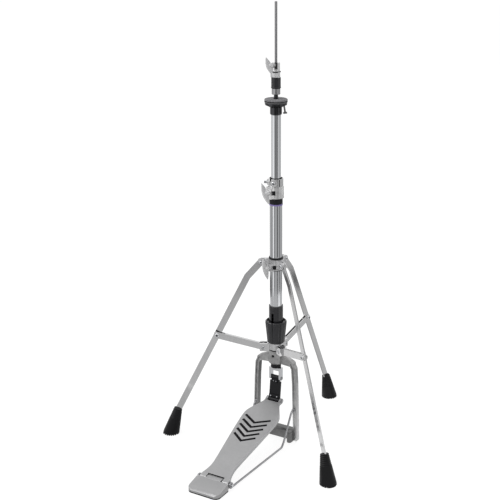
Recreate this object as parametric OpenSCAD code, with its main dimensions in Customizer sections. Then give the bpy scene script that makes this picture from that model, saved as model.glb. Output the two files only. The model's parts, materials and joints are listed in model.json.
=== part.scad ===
// Hi-hat stand: tripod, height-set column, foot pedal, spring-loaded pull rod, cymbal seat and clutch.
// Millimetres, +Z up. The origin is on the floor, on the column's axis, and the pedal's heel points to -Y.

/* [Column] */
// Outside diameter of the lower tube
lower_tube_d = 28.6; // [27:0.1:30]
// Wall of the lower tube
lower_tube_wall = 1.5; // [1.2:0.1:1.8]
// Height of the lower tube's top end above the floor
lower_tube_top = 601; // [580:1:640]
// Outside diameter of the upper tube
upper_tube_d = 22.2; // [20:0.1:23]
// Wall of the upper tube
upper_tube_wall = 1.2; // [1:0.1:1.6]
// Length of upper tube that shows above the memory lock
upper_tube_show = 144.5; // [80:0.5:200]
// Length of upper tube that reaches down inside the lower tube
upper_tube_insert = 157; // [110:1:160]
// Diameter of the upper pull rod
rod_d = 6; // [5:0.1:6.5]
// Diameter of the lower pull rod
lower_rod_d = 7; // [6:0.1:8]
// Length of pull rod that shows above the clutch
rod_show = 131; // [90:1:180]

/* [Floor frame] */
// Height of the hub's underside above the floor
hub_z = 192.5; // [188:0.5:204]
// Height of the hub
hub_h = 35.5; // [33:0.5:44]
// Diameter of the hub
hub_d = 34.5; // [34:0.5:42]
// Distance from the column's axis to each arm's centre line at the floor
arm_foot_x = 54.5; // [50:0.5:62]
// Distance from the column's axis to each arm's centre line at the shoulder
arm_shoulder_x = 49; // [46:0.5:52]
// Width of each arm, seen from the front
arm_w = 10; // [8:0.5:13]
// Depth of each arm, from front to back
arm_depth = 14; // [12:0.5:18]
// How far the arms' mid plane lies behind the column's axis
frame_back = 2; // [0:0.5:4]
// Height of the bar that joins the arms on the floor
base_bar_h = 26; // [20:1:32]
// Depth of the bar that joins the arms on the floor
base_bar_depth = 24; // [18:1:32]
// Width of each cast toe in front of the arms
pad_w = 13; // [9:0.5:14]
// How far each cast toe stands out to the front
pad_reach = 17; // [12:0.5:24]
// Height of each cast toe
pad_h = 28; // [14:0.5:32]
// Diameter of the wire that links the arms to the heel
wire_d = 5; // [4:0.1:6]

/* [Pedal] */
// Distance from the column's axis to the heel hinge
hinge_front = 272; // [255:1:290]
// Height of the heel hinge above the floor
hinge_z = 11.5; // [11:0.1:14]
// Length from the heel hinge to the toe pin
board_len = 279; // [262:1:282]
// Slope of the footboard at rest
board_angle = 17.3; // [16:0.1:18.5]
// Thickness of the footboard
board_t = 7; // [6:0.1:8]
// Half width of the footboard where it is widest
board_half_w = 45.5; // [41:0.5:48]
// Half width of the footboard at its waist near the heel
waist_half_w = 29.5; // [27:0.5:34]
// Outside diameter of the hinge knuckles
knuckle_d = 17; // [15:0.5:18]
// Diameter of the heel hinge pin
hinge_pin_d = 5; // [4:0.1:6]
// Width of the heel's middle knuckle
heel_knuckle_w = 39; // [30:1:44]
// Width of the heel plate
heel_w = 82; // [76:1:92]
// Length of the heel plate behind its knuckle
heel_len = 45; // [36:1:56]
// Thickness of the rubber mat under the heel
heel_mat_t = 3; // [2:0.5:4]
// Depth of the anti-slip grooves
groove_depth = 1.2; // [0.8:0.1:2]
// Width of the anti-slip grooves
groove_w = 6.2; // [4:0.1:7]
// Number of anti-slip grooves
groove_count = 5; // [3:1:6]
// Diameter of the toe pin
toe_pin_d = 6; // [5:0.1:7]
// Height of the yoke pin above the floor at rest
yoke_pin_z = 155; // [152:0.5:158]
// Diameter of the yoke pin
yoke_pin_d = 5; // [4:0.1:6]
// Width of the pull strap
strap_w = 29; // [26:0.5:30]
// Thickness of the pull strap
strap_t = 5; // [4:0.1:6]

/* [Spring tension] */
// Height of the tension knob
knob_h = 55; // [54:1:66]
// Diameter of the tension knob at its top
knob_top_d = 51; // [49:0.5:56]
// Diameter of the tension knob at its bottom
knob_bottom_d = 41; // [41:0.5:46]
// Number of flutes round the tension knob
knob_flutes = 8; // [6:1:12]
// Outside diameter of the slotted sleeve under the knob
sleeve_d = 33.4; // [33:0.1:34]
// Length of slotted sleeve that shows above the knob
sleeve_show = 38; // [28:1:50]
// Width of the slots in the sleeve
slot_w = 6; // [5:0.1:8]
// Wire diameter of the return spring
spring_wire = 2.2; // [1.6:0.1:2.6]
// Outside diameter of the return spring
spring_d = 22; // [18:0.5:23]
// Number of coils of the return spring
spring_coils = 7; // [5:1:16]
// Length of the return spring as fitted
spring_len = 75; // [66:1:90]

/* [Tripod] */
// Turn of the tripod on the column, seen from above
tripod_turn = -3; // [-8:0.5:4]
// Height of the sliding collar's underside above the floor
collar_z = 431; // [424:1:450]
// Height of the sliding collar
collar_h = 25; // [23:1:34]
// Outside diameter of the sliding collar
collar_d = 36; // [35.5:0.5:40]
// Distance from the column's axis to the legs' upper pivots
leg_pivot_r = 34.7; // [33:0.1:38]
// Length of leg from its pivot to its knee
knee_len = 49; // [44:1:54]
// Slope of the leg above its knee, from the vertical
knee_angle = 41; // [38:0.5:44]
// Slope of the leg below its knee, from the vertical
leg_angle = 26.3; // [25:0.1:28]
// Width of the leg's flat bar
leg_w = 15; // [13:0.5:16]
// Thickness of the leg's flat bar
leg_t = 4; // [3:0.1:5]
// Height of the rubber feet
foot_h = 59; // [50:1:72]
// Diameter of the rubber feet at their necks
foot_neck_d = 20.5; // [19:0.5:23]
// Diameter of the rubber feet at the floor
foot_base_d = 39; // [32:0.5:44]
// Lean of the rubber feet from the vertical
foot_lean = 16; // [14:0.5:20]
// Distance from the column's axis to the rivets that join stays and legs
stay_rivet_r = 140; // [128:1:148]
// Distance from the column's axis to the stays' lower pivots
spider_pivot_r = 30; // [29:0.5:34]
// Height of the spider ring
spider_h = 16; // [14:0.5:20]
// Outside diameter of the spider ring
spider_d = 36; // [36:0.5:40]
// Height of the stays' pressed channel
stay_h = 16; // [13:0.5:16.5]
// Sheet thickness of the stays' pressed channel
stay_sheet = 1.5; // [1.2:0.1:2]
// Diameter of the leg and stay pivot pins
pivot_pin_d = 5; // [4:0.1:5.5]
// Thickness of the ears that hold legs and stays
ear_t = 3; // [2.5:0.1:3.5]

/* [Clamps] */
// Height of the height clamp's casting
clamp_h = 28; // [26:0.5:34]
// Outside diameter of the height clamp's casting
clamp_d = 36; // [35:0.5:40]
// Outside diameter of the plastic bush in the height clamp
clamp_bush_d = 30.6; // [30.2:0.1:32]
// Height of the plastic band below the height clamp
band_h = 14.5; // [10:0.5:18]
// Height of the coloured ring below the band
tint_ring_h = 2; // [1.5:0.1:3]
// Height of the memory lock
lock_h = 17; // [15:0.5:24]
// Outside diameter of the memory lock
lock_d = 33; // [31:0.5:35]
// Bearing of the clamp's and the clutch's wing bolts, anticlockwise from +X
wing_bearing = 250; // [246:1:262]
// Bearing of the collar's wing bolt, anticlockwise from +X
collar_wing_bearing = 256; // [254:1:262]
// Reach of each wing from its bolt's axis
wing_reach = 25; // [20:0.5:26]
// Width of each wing at its bolt
wing_w = 17; // [12:0.5:18]
// Thickness of the wings
wing_t = 4.5; // [3.5:0.1:5]
// Tilt of the clamp's and the clutch's wings from the upright
wing_tilt = 30; // [0:1:60]
// Tilt of the collar's wings from the upright
collar_wing_tilt = 18; // [0:1:60]
// Diameter of the wing bolts
wing_bolt_d = 6; // [5:0.1:6.5]

/* [Cymbal seat] */
// Outside diameter of the sleeve below the seat
seat_sleeve_d = 26.6; // [26:0.1:29]
// Height of the sleeve below the seat
seat_sleeve_h = 17; // [15:0.5:24]
// Diameter of the seat cup at its rim
cup_rim_d = 49; // [47:0.5:54]
// Height of the seat cup
cup_h = 8; // [7:0.5:10]
// Thickness of the tilting plate
tilt_plate_t = 2; // [1.5:0.1:3]
// Diameter of the felts
felt_d = 52; // [48:0.5:58]
// Thickness of each felt
felt_t = 4; // [3:0.1:5]
// Outside diameter of the neck that centres the cymbal
neck_d = 9.6; // [9:0.1:10.5]
// Height of neck that shows above the felts
neck_show = 10; // [7:0.5:16]
// Distance from the column's axis to the tilter screw's tip
tilter_r = 20; // [19:0.1:21]
// Diameter of the tilter screw
tilter_d = 4; // [3:0.1:5]
// Lean of the tilter screw from the vertical
tilter_lean = 10; // [4:0.5:12]
// Length of the tilter screw below its tip
tilter_len = 20; // [16:0.5:26]

/* [Clutch] */
// Width of the clutch's bottom nut across its corners
clutch_nut_d = 22; // [19:0.5:25]
// Height of the clutch's bottom nut
clutch_nut_h = 13.5; // [10:0.5:18]
// Diameter of the clutch's threaded tube
clutch_tube_d = 11; // [10:0.1:12.5]
// Diameter of the clutch's black sleeve
clutch_sleeve_d = 21.2; // [18:0.1:24]
// Height of the clutch's black sleeve
clutch_sleeve_h = 23.5; // [18:0.5:30]
// Height of the clutch's lobed lock nut
lock_nut_h = 12; // [8:0.5:14]
// Diameter of the clutch's lobed lock nut
lock_nut_d = 23; // [20:0.5:25]
// Height of the clutch's casting
clutch_body_h = 20; // [18:0.5:26]
// Width of the clutch's casting
clutch_body_w = 17.5; // [17:0.5:22]

/* [Clearances] */
// Radial play of running and sliding fits
play = 0.05; // [0.03:0.01:0.08]
// Free gap between pieces that move past each other
gap = 0.3; // [0.3:0.05:0.5]

/* [Hidden] */
$fn = 64;
chrome = "#c9cbce";
satin = "#b4b5b6";
cast_grey = "#8f9090";
black = "#26262a";
rubber = "#1b1b1d";
felt_grey = "#6b6a70";
violet = "#5a4a86";
dark_steel = "#55565a";

// Lower column, from the floor up
hub_floor = 6;
lower_tube_z = hub_z + hub_floor;
lower_tube_bore = lower_tube_d - 2 * lower_tube_wall;
hub_top = hub_z + hub_h;
hub_chamfer = 3.5;
hub_neck_h = 3;
hub_neck_d = lower_tube_d + 4;
spider_z = hub_top + hub_neck_h;
spider_top = spider_z + spider_h;
knob_z = spider_top + gap;
knob_top = knob_z + knob_h;
sleeve_top = knob_top + sleeve_show;
bush_flange_h = 10;
bush_flange_d = 24.5;
bush_spigot_d = 16;
set_screw_d = 6.5;
set_screw_bearing = 275;
set_screw_z = hub_z + hub_h * 0.66;

// Spring seat, spring and the rods that pass through them
ear_h = 6;
seat_travel = 9;
thread_depth = 1.8;
thread_d = sleeve_d + 2 * thread_depth;
ear_z = knob_z + 29;
thread_z = ear_z - seat_travel - 3;
thread_h = ear_h + 2 * seat_travel + 6;
slot_z = thread_z + 1;
slot_h = knob_top + 21 - slot_z;
spring_z = ear_z + ear_h;
stop_t = 4;
stop_z = spring_z + spring_len;
coupler_h = 20;
coupler_d = 18;
rod_joint_z = stop_z + coupler_h / 2;
rod_side_play = 0.9;

// Height clamp and memory lock
band_z = lower_tube_top - band_h;
tint_ring_z = band_z - tint_ring_h;
clamp_z = lower_tube_top + 1;
clamp_top = clamp_z + clamp_h;
upper_tube_z = clamp_top - upper_tube_insert - clamp_h;
upper_bore = upper_tube_d - 2 * upper_tube_wall;
lock_z = clamp_top + gap;
lock_top = lock_z + lock_h;
wing_seat_r = 23;
collar_seat_r = wing_seat_r + 3;
clamp_bolt_z = clamp_z + clamp_h / 2;
lock_boss_bearing = 283;
key_bolt_bearing = 215;
lock_splits = [[250, 4, 3], [328, 2, -1]];
key_bolt_d = 6;
key_bolt_reach = 27;
guide_h = 30;

// Cymbal seat
sleeve_seat_z = lock_top + upper_tube_show;
cup_z = sleeve_seat_z + seat_sleeve_h;
cup_top = cup_z + cup_h;
plate_z = cup_top + gap;
felt_z = plate_z + tilt_plate_t;
felt_top = felt_z + 2 * felt_t;
neck_top = felt_top + neck_show;
tube_seat_depth = seat_sleeve_h - 3;
tilt_play = 1.4;
plate_d = felt_d - 2;

// Clutch
nut_z = neck_top + gap;
clutch_sleeve_z = nut_z + clutch_nut_h + gap;
lock_nut_z = clutch_sleeve_z + clutch_sleeve_h;
clutch_body_z = lock_nut_z + lock_nut_h;
clutch_top = clutch_body_z + clutch_body_h;
clutch_wing_reach = 20;
clutch_slot_w = 6.6;
clutch_slot_bearing = 300;
clutch_floor = 6;
clutch_bolt_z = clutch_body_z + clutch_body_h * 0.72;
rod_tip = clutch_top + rod_show;
witness_d = rod_d - 0.5;
witness_h = 1;
witness_z = clutch_top + 8;

// Tripod
collar_top = collar_z + collar_h;
collar_rim_h = 4;
collar_flange_h = 2;
collar_flange_d = 33;
collar_bush_d = lower_tube_d + 2.6;
leg_pivot = [leg_pivot_r, collar_top - 9];
knee = leg_pivot + knee_len * [sin(knee_angle), -cos(knee_angle)];
foot_neck = [knee.x + (knee.y - foot_h) * tan(leg_angle), foot_h];
leg_insert = 20;
leg_end = foot_neck + leg_insert * [sin(leg_angle), -cos(leg_angle)];
leg_rivet = [stay_rivet_r, knee.y - (stay_rivet_r - knee.x) / tan(leg_angle)];
leg_fork = leg_t + 2 * gap;
stay_pivot = [spider_pivot_r, spider_z + spider_h * 0.2];
stay_vector = leg_rivet - stay_pivot;
stay_len = norm(stay_vector);
stay_angle = atan2(stay_vector.y, stay_vector.x);
stay_inside = leg_t + 2 * gap;
stay_outside = stay_inside + 2 * stay_sheet;
stay_fork = stay_outside + 2 * gap;
pin_head_d = pivot_pin_d + 3;
pin_head_h = 1.6;
pin_sink = pin_head_h + 0.6;
stay_head_d = pivot_pin_d + 6;
stay_head_h = 2.6;
lug_t = 5;
lug_w = stay_fork + 2 * lug_t;
lug_h = stay_h + 3;
lug_z = stay_pivot.y - lug_h * 0.45;
lug_end = spider_pivot_r + stay_h / 2;
collar_bolt_z = collar_z + 7.5;
leg_bearings = [tripod_turn + 90, tripod_turn + 210, tripod_turn + 330];

// Floor frame
frame_front = frame_back - arm_depth / 2;
shoulder_z = hub_top - 26;
arm_root = [hub_d * 0.2, shoulder_z + 6];
arm_line = [
    [arm_shoulder_x - 6, shoulder_z - 3],
    [arm_shoulder_x, shoulder_z - 15],
    [arm_shoulder_x + 2.5, shoulder_z - 52],
    [arm_foot_x, base_bar_h + 14],
    [arm_foot_x, 0]
];
wire_hole_z = 82;
wire_hole_x = arm_foot_x - 3;
wire_hole_depth = 8;

// Pedal, in the footboard's own frame: across, along from the hinge, up from the hinge
knuckle_r = knuckle_d / 2;
board_top = knuckle_r - 0.6;
board_floor = board_top - board_t;
hinge_gap = 2;
ear_inner_x = heel_knuckle_w / 2 + hinge_gap;
ear_outer_x = heel_w / 2 - 3.5;
toe_fork_x = strap_w / 2 + 1;
toe_ear_t = 5;
toe_ear_d = 13;
toe_up = board_top - 3.9;
toe_pin_play = 1.5;
neck_end = board_len - 9;
stations = [
    [0, ear_outer_x],
    [24, waist_half_w + 1.5],
    [45, waist_half_w],
    [130, (waist_half_w + board_half_w) / 2 + 1.5],
    [200, board_half_w],
    [222, board_half_w - 1.5],
    [neck_end - 24, (board_half_w + toe_fork_x) / 2 + 1],
    [neck_end - 8, toe_fork_x + toe_ear_t + 2],
    [neck_end, toe_fork_x + toe_ear_t]
];
board_rim = 4;
board_skin = 3.5;
groove_start = 124.5;
groove_pitch = 15.85;
groove_rise = 18.5;
groove_reach = 29;
groove_shift = 4;
toe = [0, board_len * cos(board_angle) - toe_up * sin(board_angle) - hinge_front,
    hinge_z + board_len * sin(board_angle) + toe_up * cos(board_angle)];
yoke_leg_t = 5;
yoke_leg_x = strap_w / 2 - 4;
yoke_depth = 12;
yoke_top = hub_z - bush_flange_h - 0.5;
bridge_h = 7.5;
strap_len = norm([toe.y, toe.z - yoke_pin_z]);
strap_angle = atan2(-toe.y, yoke_pin_z - toe.z);
heel_back = hinge_front + knuckle_r + 0.7;
heel_front = heel_back + heel_len;
heel_tongue = 6.3;
wire_eye_d = hinge_pin_d + wire_d + 2 * play;
wire_eye_x = heel_w / 2 + 1;
pin_end_x = wire_eye_x + wire_d / 2 + 1;
wire_route = [
    [wire_hole_x, frame_front + wire_hole_depth - gap, wire_hole_z],
    [wire_hole_x, frame_front - 10, wire_hole_z],
    [wire_hole_x - 4, -45, 15],
    [wire_hole_x - 4, -55, wire_d / 2 + 1.5],
    [wire_eye_x, -hinge_front, hinge_z - wire_eye_d / 2]
];

// A ring standing on the given height
module ring(outer, inner, z, h) {
    translate([0, 0, z])
        difference() {
            cylinder(d = outer, h = h);
            translate([0, 0, -1])
                cylinder(d = inner, h = h + 2);
        }
}

// A flat shape between two circles, with straight sides
module taper2d(p, q, dp, dq) {
    lean = atan2(q.y - p.y, q.x - p.x);
    side = acos((dp - dq) / 2 / norm(q - p));
    translate(p)
        circle(d = dp);
    translate(q)
        circle(d = dq);
    polygon([
        p + dp / 2 * [cos(lean + side), sin(lean + side)],
        p + dp / 2 * [cos(lean - side), sin(lean - side)],
        q + dq / 2 * [cos(lean - side), sin(lean - side)],
        q + dq / 2 * [cos(lean + side), sin(lean + side)]
    ]);
}

// A flat bar with round ends through a list of points
module chain2d(points, w) {
    for (i = [1 : len(points) - 1])
        taper2d(points[i - 1], points[i], w, w);
}

// Stands a flat shape up: its x stays, its y points up
module upright(t) {
    rotate([90, 0, 0])
        linear_extrude(t, center = true)
            children();
}

// A cylinder along X, centred
module cross_pin(d, l) {
    rotate([0, 90, 0])
        cylinder(d = d, h = l, center = true);
}

// Turns what is drawn along +X to a bearing
module bearing(angle) {
    rotate([0, 0, angle])
        children();
}

// A bolt-sized cylinder along +X between two distances from the axis
module radial_rod(d, from, to, z) {
    translate([from, 0, z])
        rotate([0, 90, 0])
            cylinder(d = d, h = to - from);
}

// The slots that the spring seat's ears run in
module ear_slots() {
    translate([-slot_w / 2, -sleeve_d, slot_z])
        cube([slot_w, 2 * sleeve_d, slot_h]);
}

// A wing bolt along +X: shank, hub and two wings in the shape of one leaf
module wing_bolt(tip_r, seat_r, reach, tilt) {
    hub_d = wing_bolt_d + 5;
    hub_l = 9;
    mid = seat_r + wing_w / 2 + 0.5;
    radial_rod(wing_bolt_d, tip_r, seat_r + 1, 0);
    radial_rod(hub_d, seat_r, seat_r + hub_l, 0);
    rotate([tilt, 0, 0])
        for (side = [-1, 1])
            upright(wing_t)
                taper2d([mid, 0], [mid, side * (reach - 2)], wing_w, 4);
}

function unit(v) = v / norm(v);
function heading(path, i) = unit(path[min(i + 1, len(path) - 1)] - path[max(i - 1, 0)]);
function tube_ring(path, i, d, sides, ref) = let (a = unit(cross(heading(path, i), ref)), b = cross(heading(path, i), a))
    [for (k = [0 : sides - 1]) path[i] + d / 2 * (cos(360 * k / sides) * a + sin(360 * k / sides) * b)];

// A round wire along a path that never runs along the given direction
module tube_along(path, d, sides, ref) {
    last = (len(path) - 1) * sides;
    polyhedron(
        points = [for (i = [0 : len(path) - 1]) each tube_ring(path, i, d, sides, ref)],
        faces = concat(
            [[for (k = [0 : sides - 1]) k]],
            [for (i = [0 : len(path) - 2], k = [0 : sides - 1])
                [i * sides + k, (i + 1) * sides + k, (i + 1) * sides + (k + 1) % sides]],
            [for (i = [0 : len(path) - 2], k = [0 : sides - 1])
                [i * sides + k, (i + 1) * sides + (k + 1) % sides, i * sides + (k + 1) % sides]],
            [[for (k = [sides - 1 : -1 : 0]) last + k]]
        )
    );
}

module lower_tube() {
    color(chrome)
        difference() {
            ring(lower_tube_d, lower_tube_bore, lower_tube_z, lower_tube_top - lower_tube_z);
            ear_slots();
        }
}

module clamp_bush() {
    color(black) {
        ring(clamp_bush_d, lower_tube_d + 2 * play, band_z, band_h);
        ring(clamp_bush_d, upper_tube_d + 2 * play, lower_tube_top, clamp_top - lower_tube_top);
    }
}

module tint_ring() {
    color(violet)
        ring(clamp_bush_d - 0.6, lower_tube_d + 2 * play, tint_ring_z, tint_ring_h);
}

// A clamp's block for its wing bolt, standing out along +X
module bolt_block(h, mid_z, seat_r) {
    translate([0, -8, mid_z - h / 2])
        cube([seat_r - 0.5, 16, h]);
}

// The hole for a wing bolt along +X, and the window beside it that shows the bush
module bolt_room(d, mid_z) {
    radial_rod(wing_bolt_d + 2 * play, 0, d, mid_z);
    translate([0, wing_bolt_d / 2 + 1.5, mid_z - 5])
        cube([d, 8.5, 10]);
}

module height_clamp() {
    color(chrome)
        difference() {
            union() {
                translate([0, 0, clamp_z])
                    cylinder(d = clamp_d, h = clamp_h);
                bearing(wing_bearing)
                    bolt_block(clamp_h, clamp_bolt_z, wing_seat_r);
            }
            translate([0, 0, clamp_z - 1])
                cylinder(d = clamp_bush_d + 2 * play, h = clamp_h + 2);
            bearing(wing_bearing)
                bolt_room(clamp_d, clamp_bolt_z);
        }
}

module tension_sleeve() {
    color(black)
        difference() {
            ring(sleeve_d, lower_tube_d + 2 * play, spider_top, sleeve_top - spider_top);
            ear_slots();
        }
}

module spider() {
    color(satin)
        difference() {
            union() {
                translate([0, 0, spider_z])
                    cylinder(d = spider_d, h = spider_h);
                for (angle = leg_bearings)
                    bearing(angle)
                        translate([spider_d / 2 - 5, -lug_w / 2, lug_z])
                            cube([lug_end - spider_d / 2 + 5, lug_w, lug_h]);
            }
            translate([0, 0, lug_z - 1])
                cylinder(d = lower_tube_d + 2 * play, h = spider_h + lug_h);
            translate([0, 0, lug_z - 1])
                cylinder(d = hub_d + 1, h = spider_z - lug_z + 1);
            for (angle = leg_bearings)
                bearing(angle) {
                    translate([stay_pivot.x - stay_h / 2 - 1, -stay_fork / 2, lug_z - 1])
                        cube([spider_d, stay_fork, lug_h + 2]);
                    translate([stay_pivot.x, 0, stay_pivot.y])
                        rotate([90, 0, 0])
                            cylinder(d = pivot_pin_d, h = 2 * lug_w, center = true);
                    for (side = [0, 1])
                        mirror([0, side, 0])
                            translate([stay_pivot.x, lug_w / 2 - pin_sink, stay_pivot.y])
                                rotate([-90, 0, 0])
                                    cylinder(d = pin_head_d + 1, h = lug_t);
                }
        }
}

// A headed pin across a radial slot, at a point of the slot's plane
module slot_pin(point, l) {
    translate([point.x, 0, point.y])
        rotate([90, 0, 0]) {
            cylinder(d = pivot_pin_d, h = l, center = true);
            for (end = [0, 1])
                mirror([0, 0, end])
                    translate([0, 0, l / 2])
                        cylinder(d = pin_head_d, h = pin_head_h);
        }
}

module spider_bolts() {
    color(chrome)
        for (angle = leg_bearings)
            bearing(angle)
                slot_pin(stay_pivot, lug_w - 2 * pin_sink);
}

// One arm's outline, seen from the front
module arm2d(w) {
    chain2d(arm_line, w);
}

module frame_casting() {
    color(cast_grey)
        difference() {
            union() {
                translate([0, 0, hub_z])
                    cylinder(d1 = hub_d - 2 * hub_chamfer, d2 = hub_d, h = hub_chamfer);
                translate([0, 0, hub_z + hub_chamfer])
                    cylinder(d = hub_d, h = hub_h - hub_chamfer);
                translate([0, 0, hub_z + hub_chamfer])
                    cylinder(d = hub_neck_d, h = hub_h - hub_chamfer + hub_neck_h);
                for (side = [0, 1])
                    mirror([side, 0, 0])
                        translate([0, frame_back, 0])
                            upright(arm_depth) {
                                taper2d(arm_root, arm_line[0], 26, arm_w + 3);
                                arm2d(arm_w);
                            }
            }
            for (side = [0, 1], face = [-1, 1])
                mirror([side, 0, 0])
                    translate([0, frame_back + face * arm_depth / 2, 0])
                        upright(3)
                            arm2d(arm_w * 0.4);
            translate([0, 0, lower_tube_z])
                cylinder(d = lower_tube_d + 2 * play, h = hub_h);
            translate([0, 0, hub_z - 1])
                cylinder(d = bush_spigot_d + 2 * play, h = hub_floor + 2);
            bearing(set_screw_bearing)
                radial_rod(set_screw_d + 2 * play, 0, hub_d, set_screw_z);
            for (side = [-1, 1])
                translate([side * wire_hole_x, frame_front + wire_hole_depth, wire_hole_z])
                    rotate([90, 0, 0])
                        cylinder(d = wire_d + 2 * play, h = wire_hole_depth + 1);
            translate([-100, -50, -arm_w])
                cube([200, 100, arm_w]);
        }
}

module base_bar() {
    back = frame_front + base_bar_depth;
    color(cast_grey)
        rotate([90, 0, 90])
            linear_extrude(2 * arm_foot_x - arm_w, center = true)
                polygon([
                    [frame_front, 0], [frame_front, base_bar_h - 4], [frame_front + 4, base_bar_h],
                    [back - 5, base_bar_h], [back, base_bar_h - 5], [back, 0]
                ]);
}

module base_pads() {
    pad_x = arm_foot_x - arm_w / 2 - pad_w / 4;
    color(cast_grey)
        for (side = [-1, 1])
            translate([side * pad_x, 0, 0])
                linear_extrude(pad_h) {
                    translate([0, frame_front - pad_reach + pad_w / 2])
                        circle(d = pad_w);
                    translate([-pad_w / 2, frame_front - pad_reach + pad_w / 2])
                        square([pad_w, pad_reach - pad_w / 2]);
                }
}

module set_screw() {
    color(dark_steel)
        bearing(set_screw_bearing)
            radial_rod(set_screw_d, lower_tube_d / 2 + gap, hub_d / 2 - 1.5, set_screw_z);
}

module rod_bush() {
    color(black) {
        ring(bush_flange_d, lower_rod_d + 2 * play, hub_z - bush_flange_h, bush_flange_h);
        ring(bush_spigot_d, lower_rod_d + 2 * play, hub_z, hub_floor - gap);
    }
}

// One corner of a route, rounded off
function rounded(a, b, c, r) = let (p = b + r * unit(a - b), q = b + r * unit(c - b))
    [for (t = [0 : 0.2 : 1]) (1 - t) * (1 - t) * p + 2 * t * (1 - t) * b + t * t * q];
wire_loop = [
    for (turn = [0 : 20 : 300])
        [wire_eye_x, -hinge_front - wire_eye_d / 2 * sin(turn), hinge_z - wire_eye_d / 2 * cos(turn)]
];
wire_path = concat(
    [wire_route[0]],
    [for (i = [1 : len(wire_route) - 2]) each rounded(wire_route[i - 1], wire_route[i], wire_route[i + 1], 4)],
    wire_loop
);

module radius_rods() {
    color(chrome)
        for (side = [0, 1])
            mirror([side, 0, 0])
                tube_along(wire_path, wire_d, 12, [1, 0, 0]);
}

// The heel's outline, seen from above
module heel2d() {
    corner = 13;
    for (side = [-1, 1])
        translate([side * (heel_w / 2 - corner), corner - heel_front])
            circle(r = corner);
    translate([corner - heel_w / 2, -heel_front])
        square([heel_w - 2 * corner, heel_len]);
    translate([-heel_w / 2, corner - heel_front])
        square([heel_w, heel_len - corner]);
}

module heel_plate() {
    top = hinge_z + knuckle_r - 0.6;
    color(satin)
        difference() {
            union() {
                intersection() {
                    rotate([90, 0, 90])
                        linear_extrude(heel_w, center = true)
                            polygon([
                                [-heel_back, heel_mat_t], [-heel_back, top], [4 - heel_front, top - 9],
                                [-heel_front, top - 12], [-heel_front, heel_mat_t]
                            ]);
                    linear_extrude(2 * top)
                        heel2d();
                }
                translate([0, -hinge_front, hinge_z])
                    cross_pin(knuckle_d, heel_knuckle_w);
                translate([-heel_knuckle_w / 2, -heel_back - 1, hinge_z])
                    cube([heel_knuckle_w, heel_back - hinge_front + 1 + heel_tongue, knuckle_r - 0.6]);
            }
            translate([0, -hinge_front, hinge_z])
                cross_pin(hinge_pin_d + 2 * play, 2 * heel_w);
        }
}

module heel_mat() {
    color(rubber)
        linear_extrude(heel_mat_t)
            heel2d();
}

module hinge_pin() {
    color(chrome)
        translate([0, -hinge_front, hinge_z]) {
            cross_pin(hinge_pin_d, 2 * pin_end_x);
            for (side = [-1, 1])
                translate([side * (pin_end_x + 0.7), 0, 0])
                    cross_pin(hinge_pin_d + 3, 1.5);
        }
}

module upper_tube() {
    color(chrome)
        ring(upper_tube_d, upper_bore, upper_tube_z, sleeve_seat_z + tube_seat_depth - upper_tube_z);
}

module tube_guide() {
    color(black)
        difference() {
            ring(lower_tube_bore - 2 * play, upper_bore, upper_tube_z - 3, guide_h);
            translate([0, 0, upper_tube_z])
                cylinder(d = upper_tube_d + 2 * play, h = guide_h);
        }
}

module memory_lock() {
    mid = lock_z + lock_h / 2;
    color(chrome)
        difference() {
            union() {
                translate([0, 0, lock_z])
                    cylinder(d = lock_d, h = lock_h);
                bearing(lock_boss_bearing) {
                    radial_rod(16, 0, lock_d / 2 + 3, mid);
                    radial_rod(9, 0, lock_d / 2 + 5, mid);
                }
                bearing(key_bolt_bearing)
                    radial_rod(key_bolt_d + 8, 0, lock_d / 2 + 3, mid);
            }
            translate([0, 0, lock_z - 1])
                cylinder(d = upper_tube_d + 2 * play, h = lock_h + 2);
            bearing(key_bolt_bearing)
                radial_rod(key_bolt_d + 2 * play, 0, lock_d, mid);
            for (split = lock_splits)
                bearing(split[0])
                    translate([upper_tube_d / 2 + 1.5, -split[1] / 2, lock_z + split[2]])
                        cube([lock_d, split[1], lock_h]);
            translate([0, 0, lock_z - lock_h])
                cylinder(d = 2 * lock_d, h = lock_h);
        }
}

module key_bolt() {
    color(chrome)
        bearing(key_bolt_bearing)
            translate([0, 0, lock_z + lock_h / 2]) {
                radial_rod(key_bolt_d, upper_tube_d / 2 + gap, key_bolt_reach - 5, 0);
                radial_rod(key_bolt_d + 3, lock_d / 2 + 3 + gap, key_bolt_reach - 6, 0);
                translate([key_bolt_reach - 3, 0, 0])
                    cube([6, 5, 5], center = true);
            }
}

module seat_sleeve() {
    color(black)
        difference() {
            translate([0, 0, sleeve_seat_z])
                rotate_extrude()
                    polygon([
                        [0, 0], [seat_sleeve_d / 2 - 2, 0], [seat_sleeve_d / 2, 2],
                        [seat_sleeve_d / 2, seat_sleeve_h], [0, seat_sleeve_h]
                    ]);
            translate([0, 0, sleeve_seat_z - 1])
                cylinder(d = upper_tube_d + 2 * play, h = tube_seat_depth + 1);
            translate([0, 0, sleeve_seat_z])
                cylinder(d = neck_d + 2 * play, h = 2 * seat_sleeve_h);
        }
}

module seat_neck() {
    color(black) {
        ring(neck_d, rod_d + 2 * play, sleeve_seat_z + tube_seat_depth, neck_top - sleeve_seat_z - tube_seat_depth);
        ring(upper_bore - 2 * play, rod_d + 2 * play, sleeve_seat_z + tube_seat_depth - 12, 12);
    }
}

// Places the tilter screw: its tip is at the origin, and it hangs down
module tilter_place() {
    translate([tilter_r, 0, cup_top])
        rotate([0, -tilter_lean, 0])
            children();
}

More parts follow.
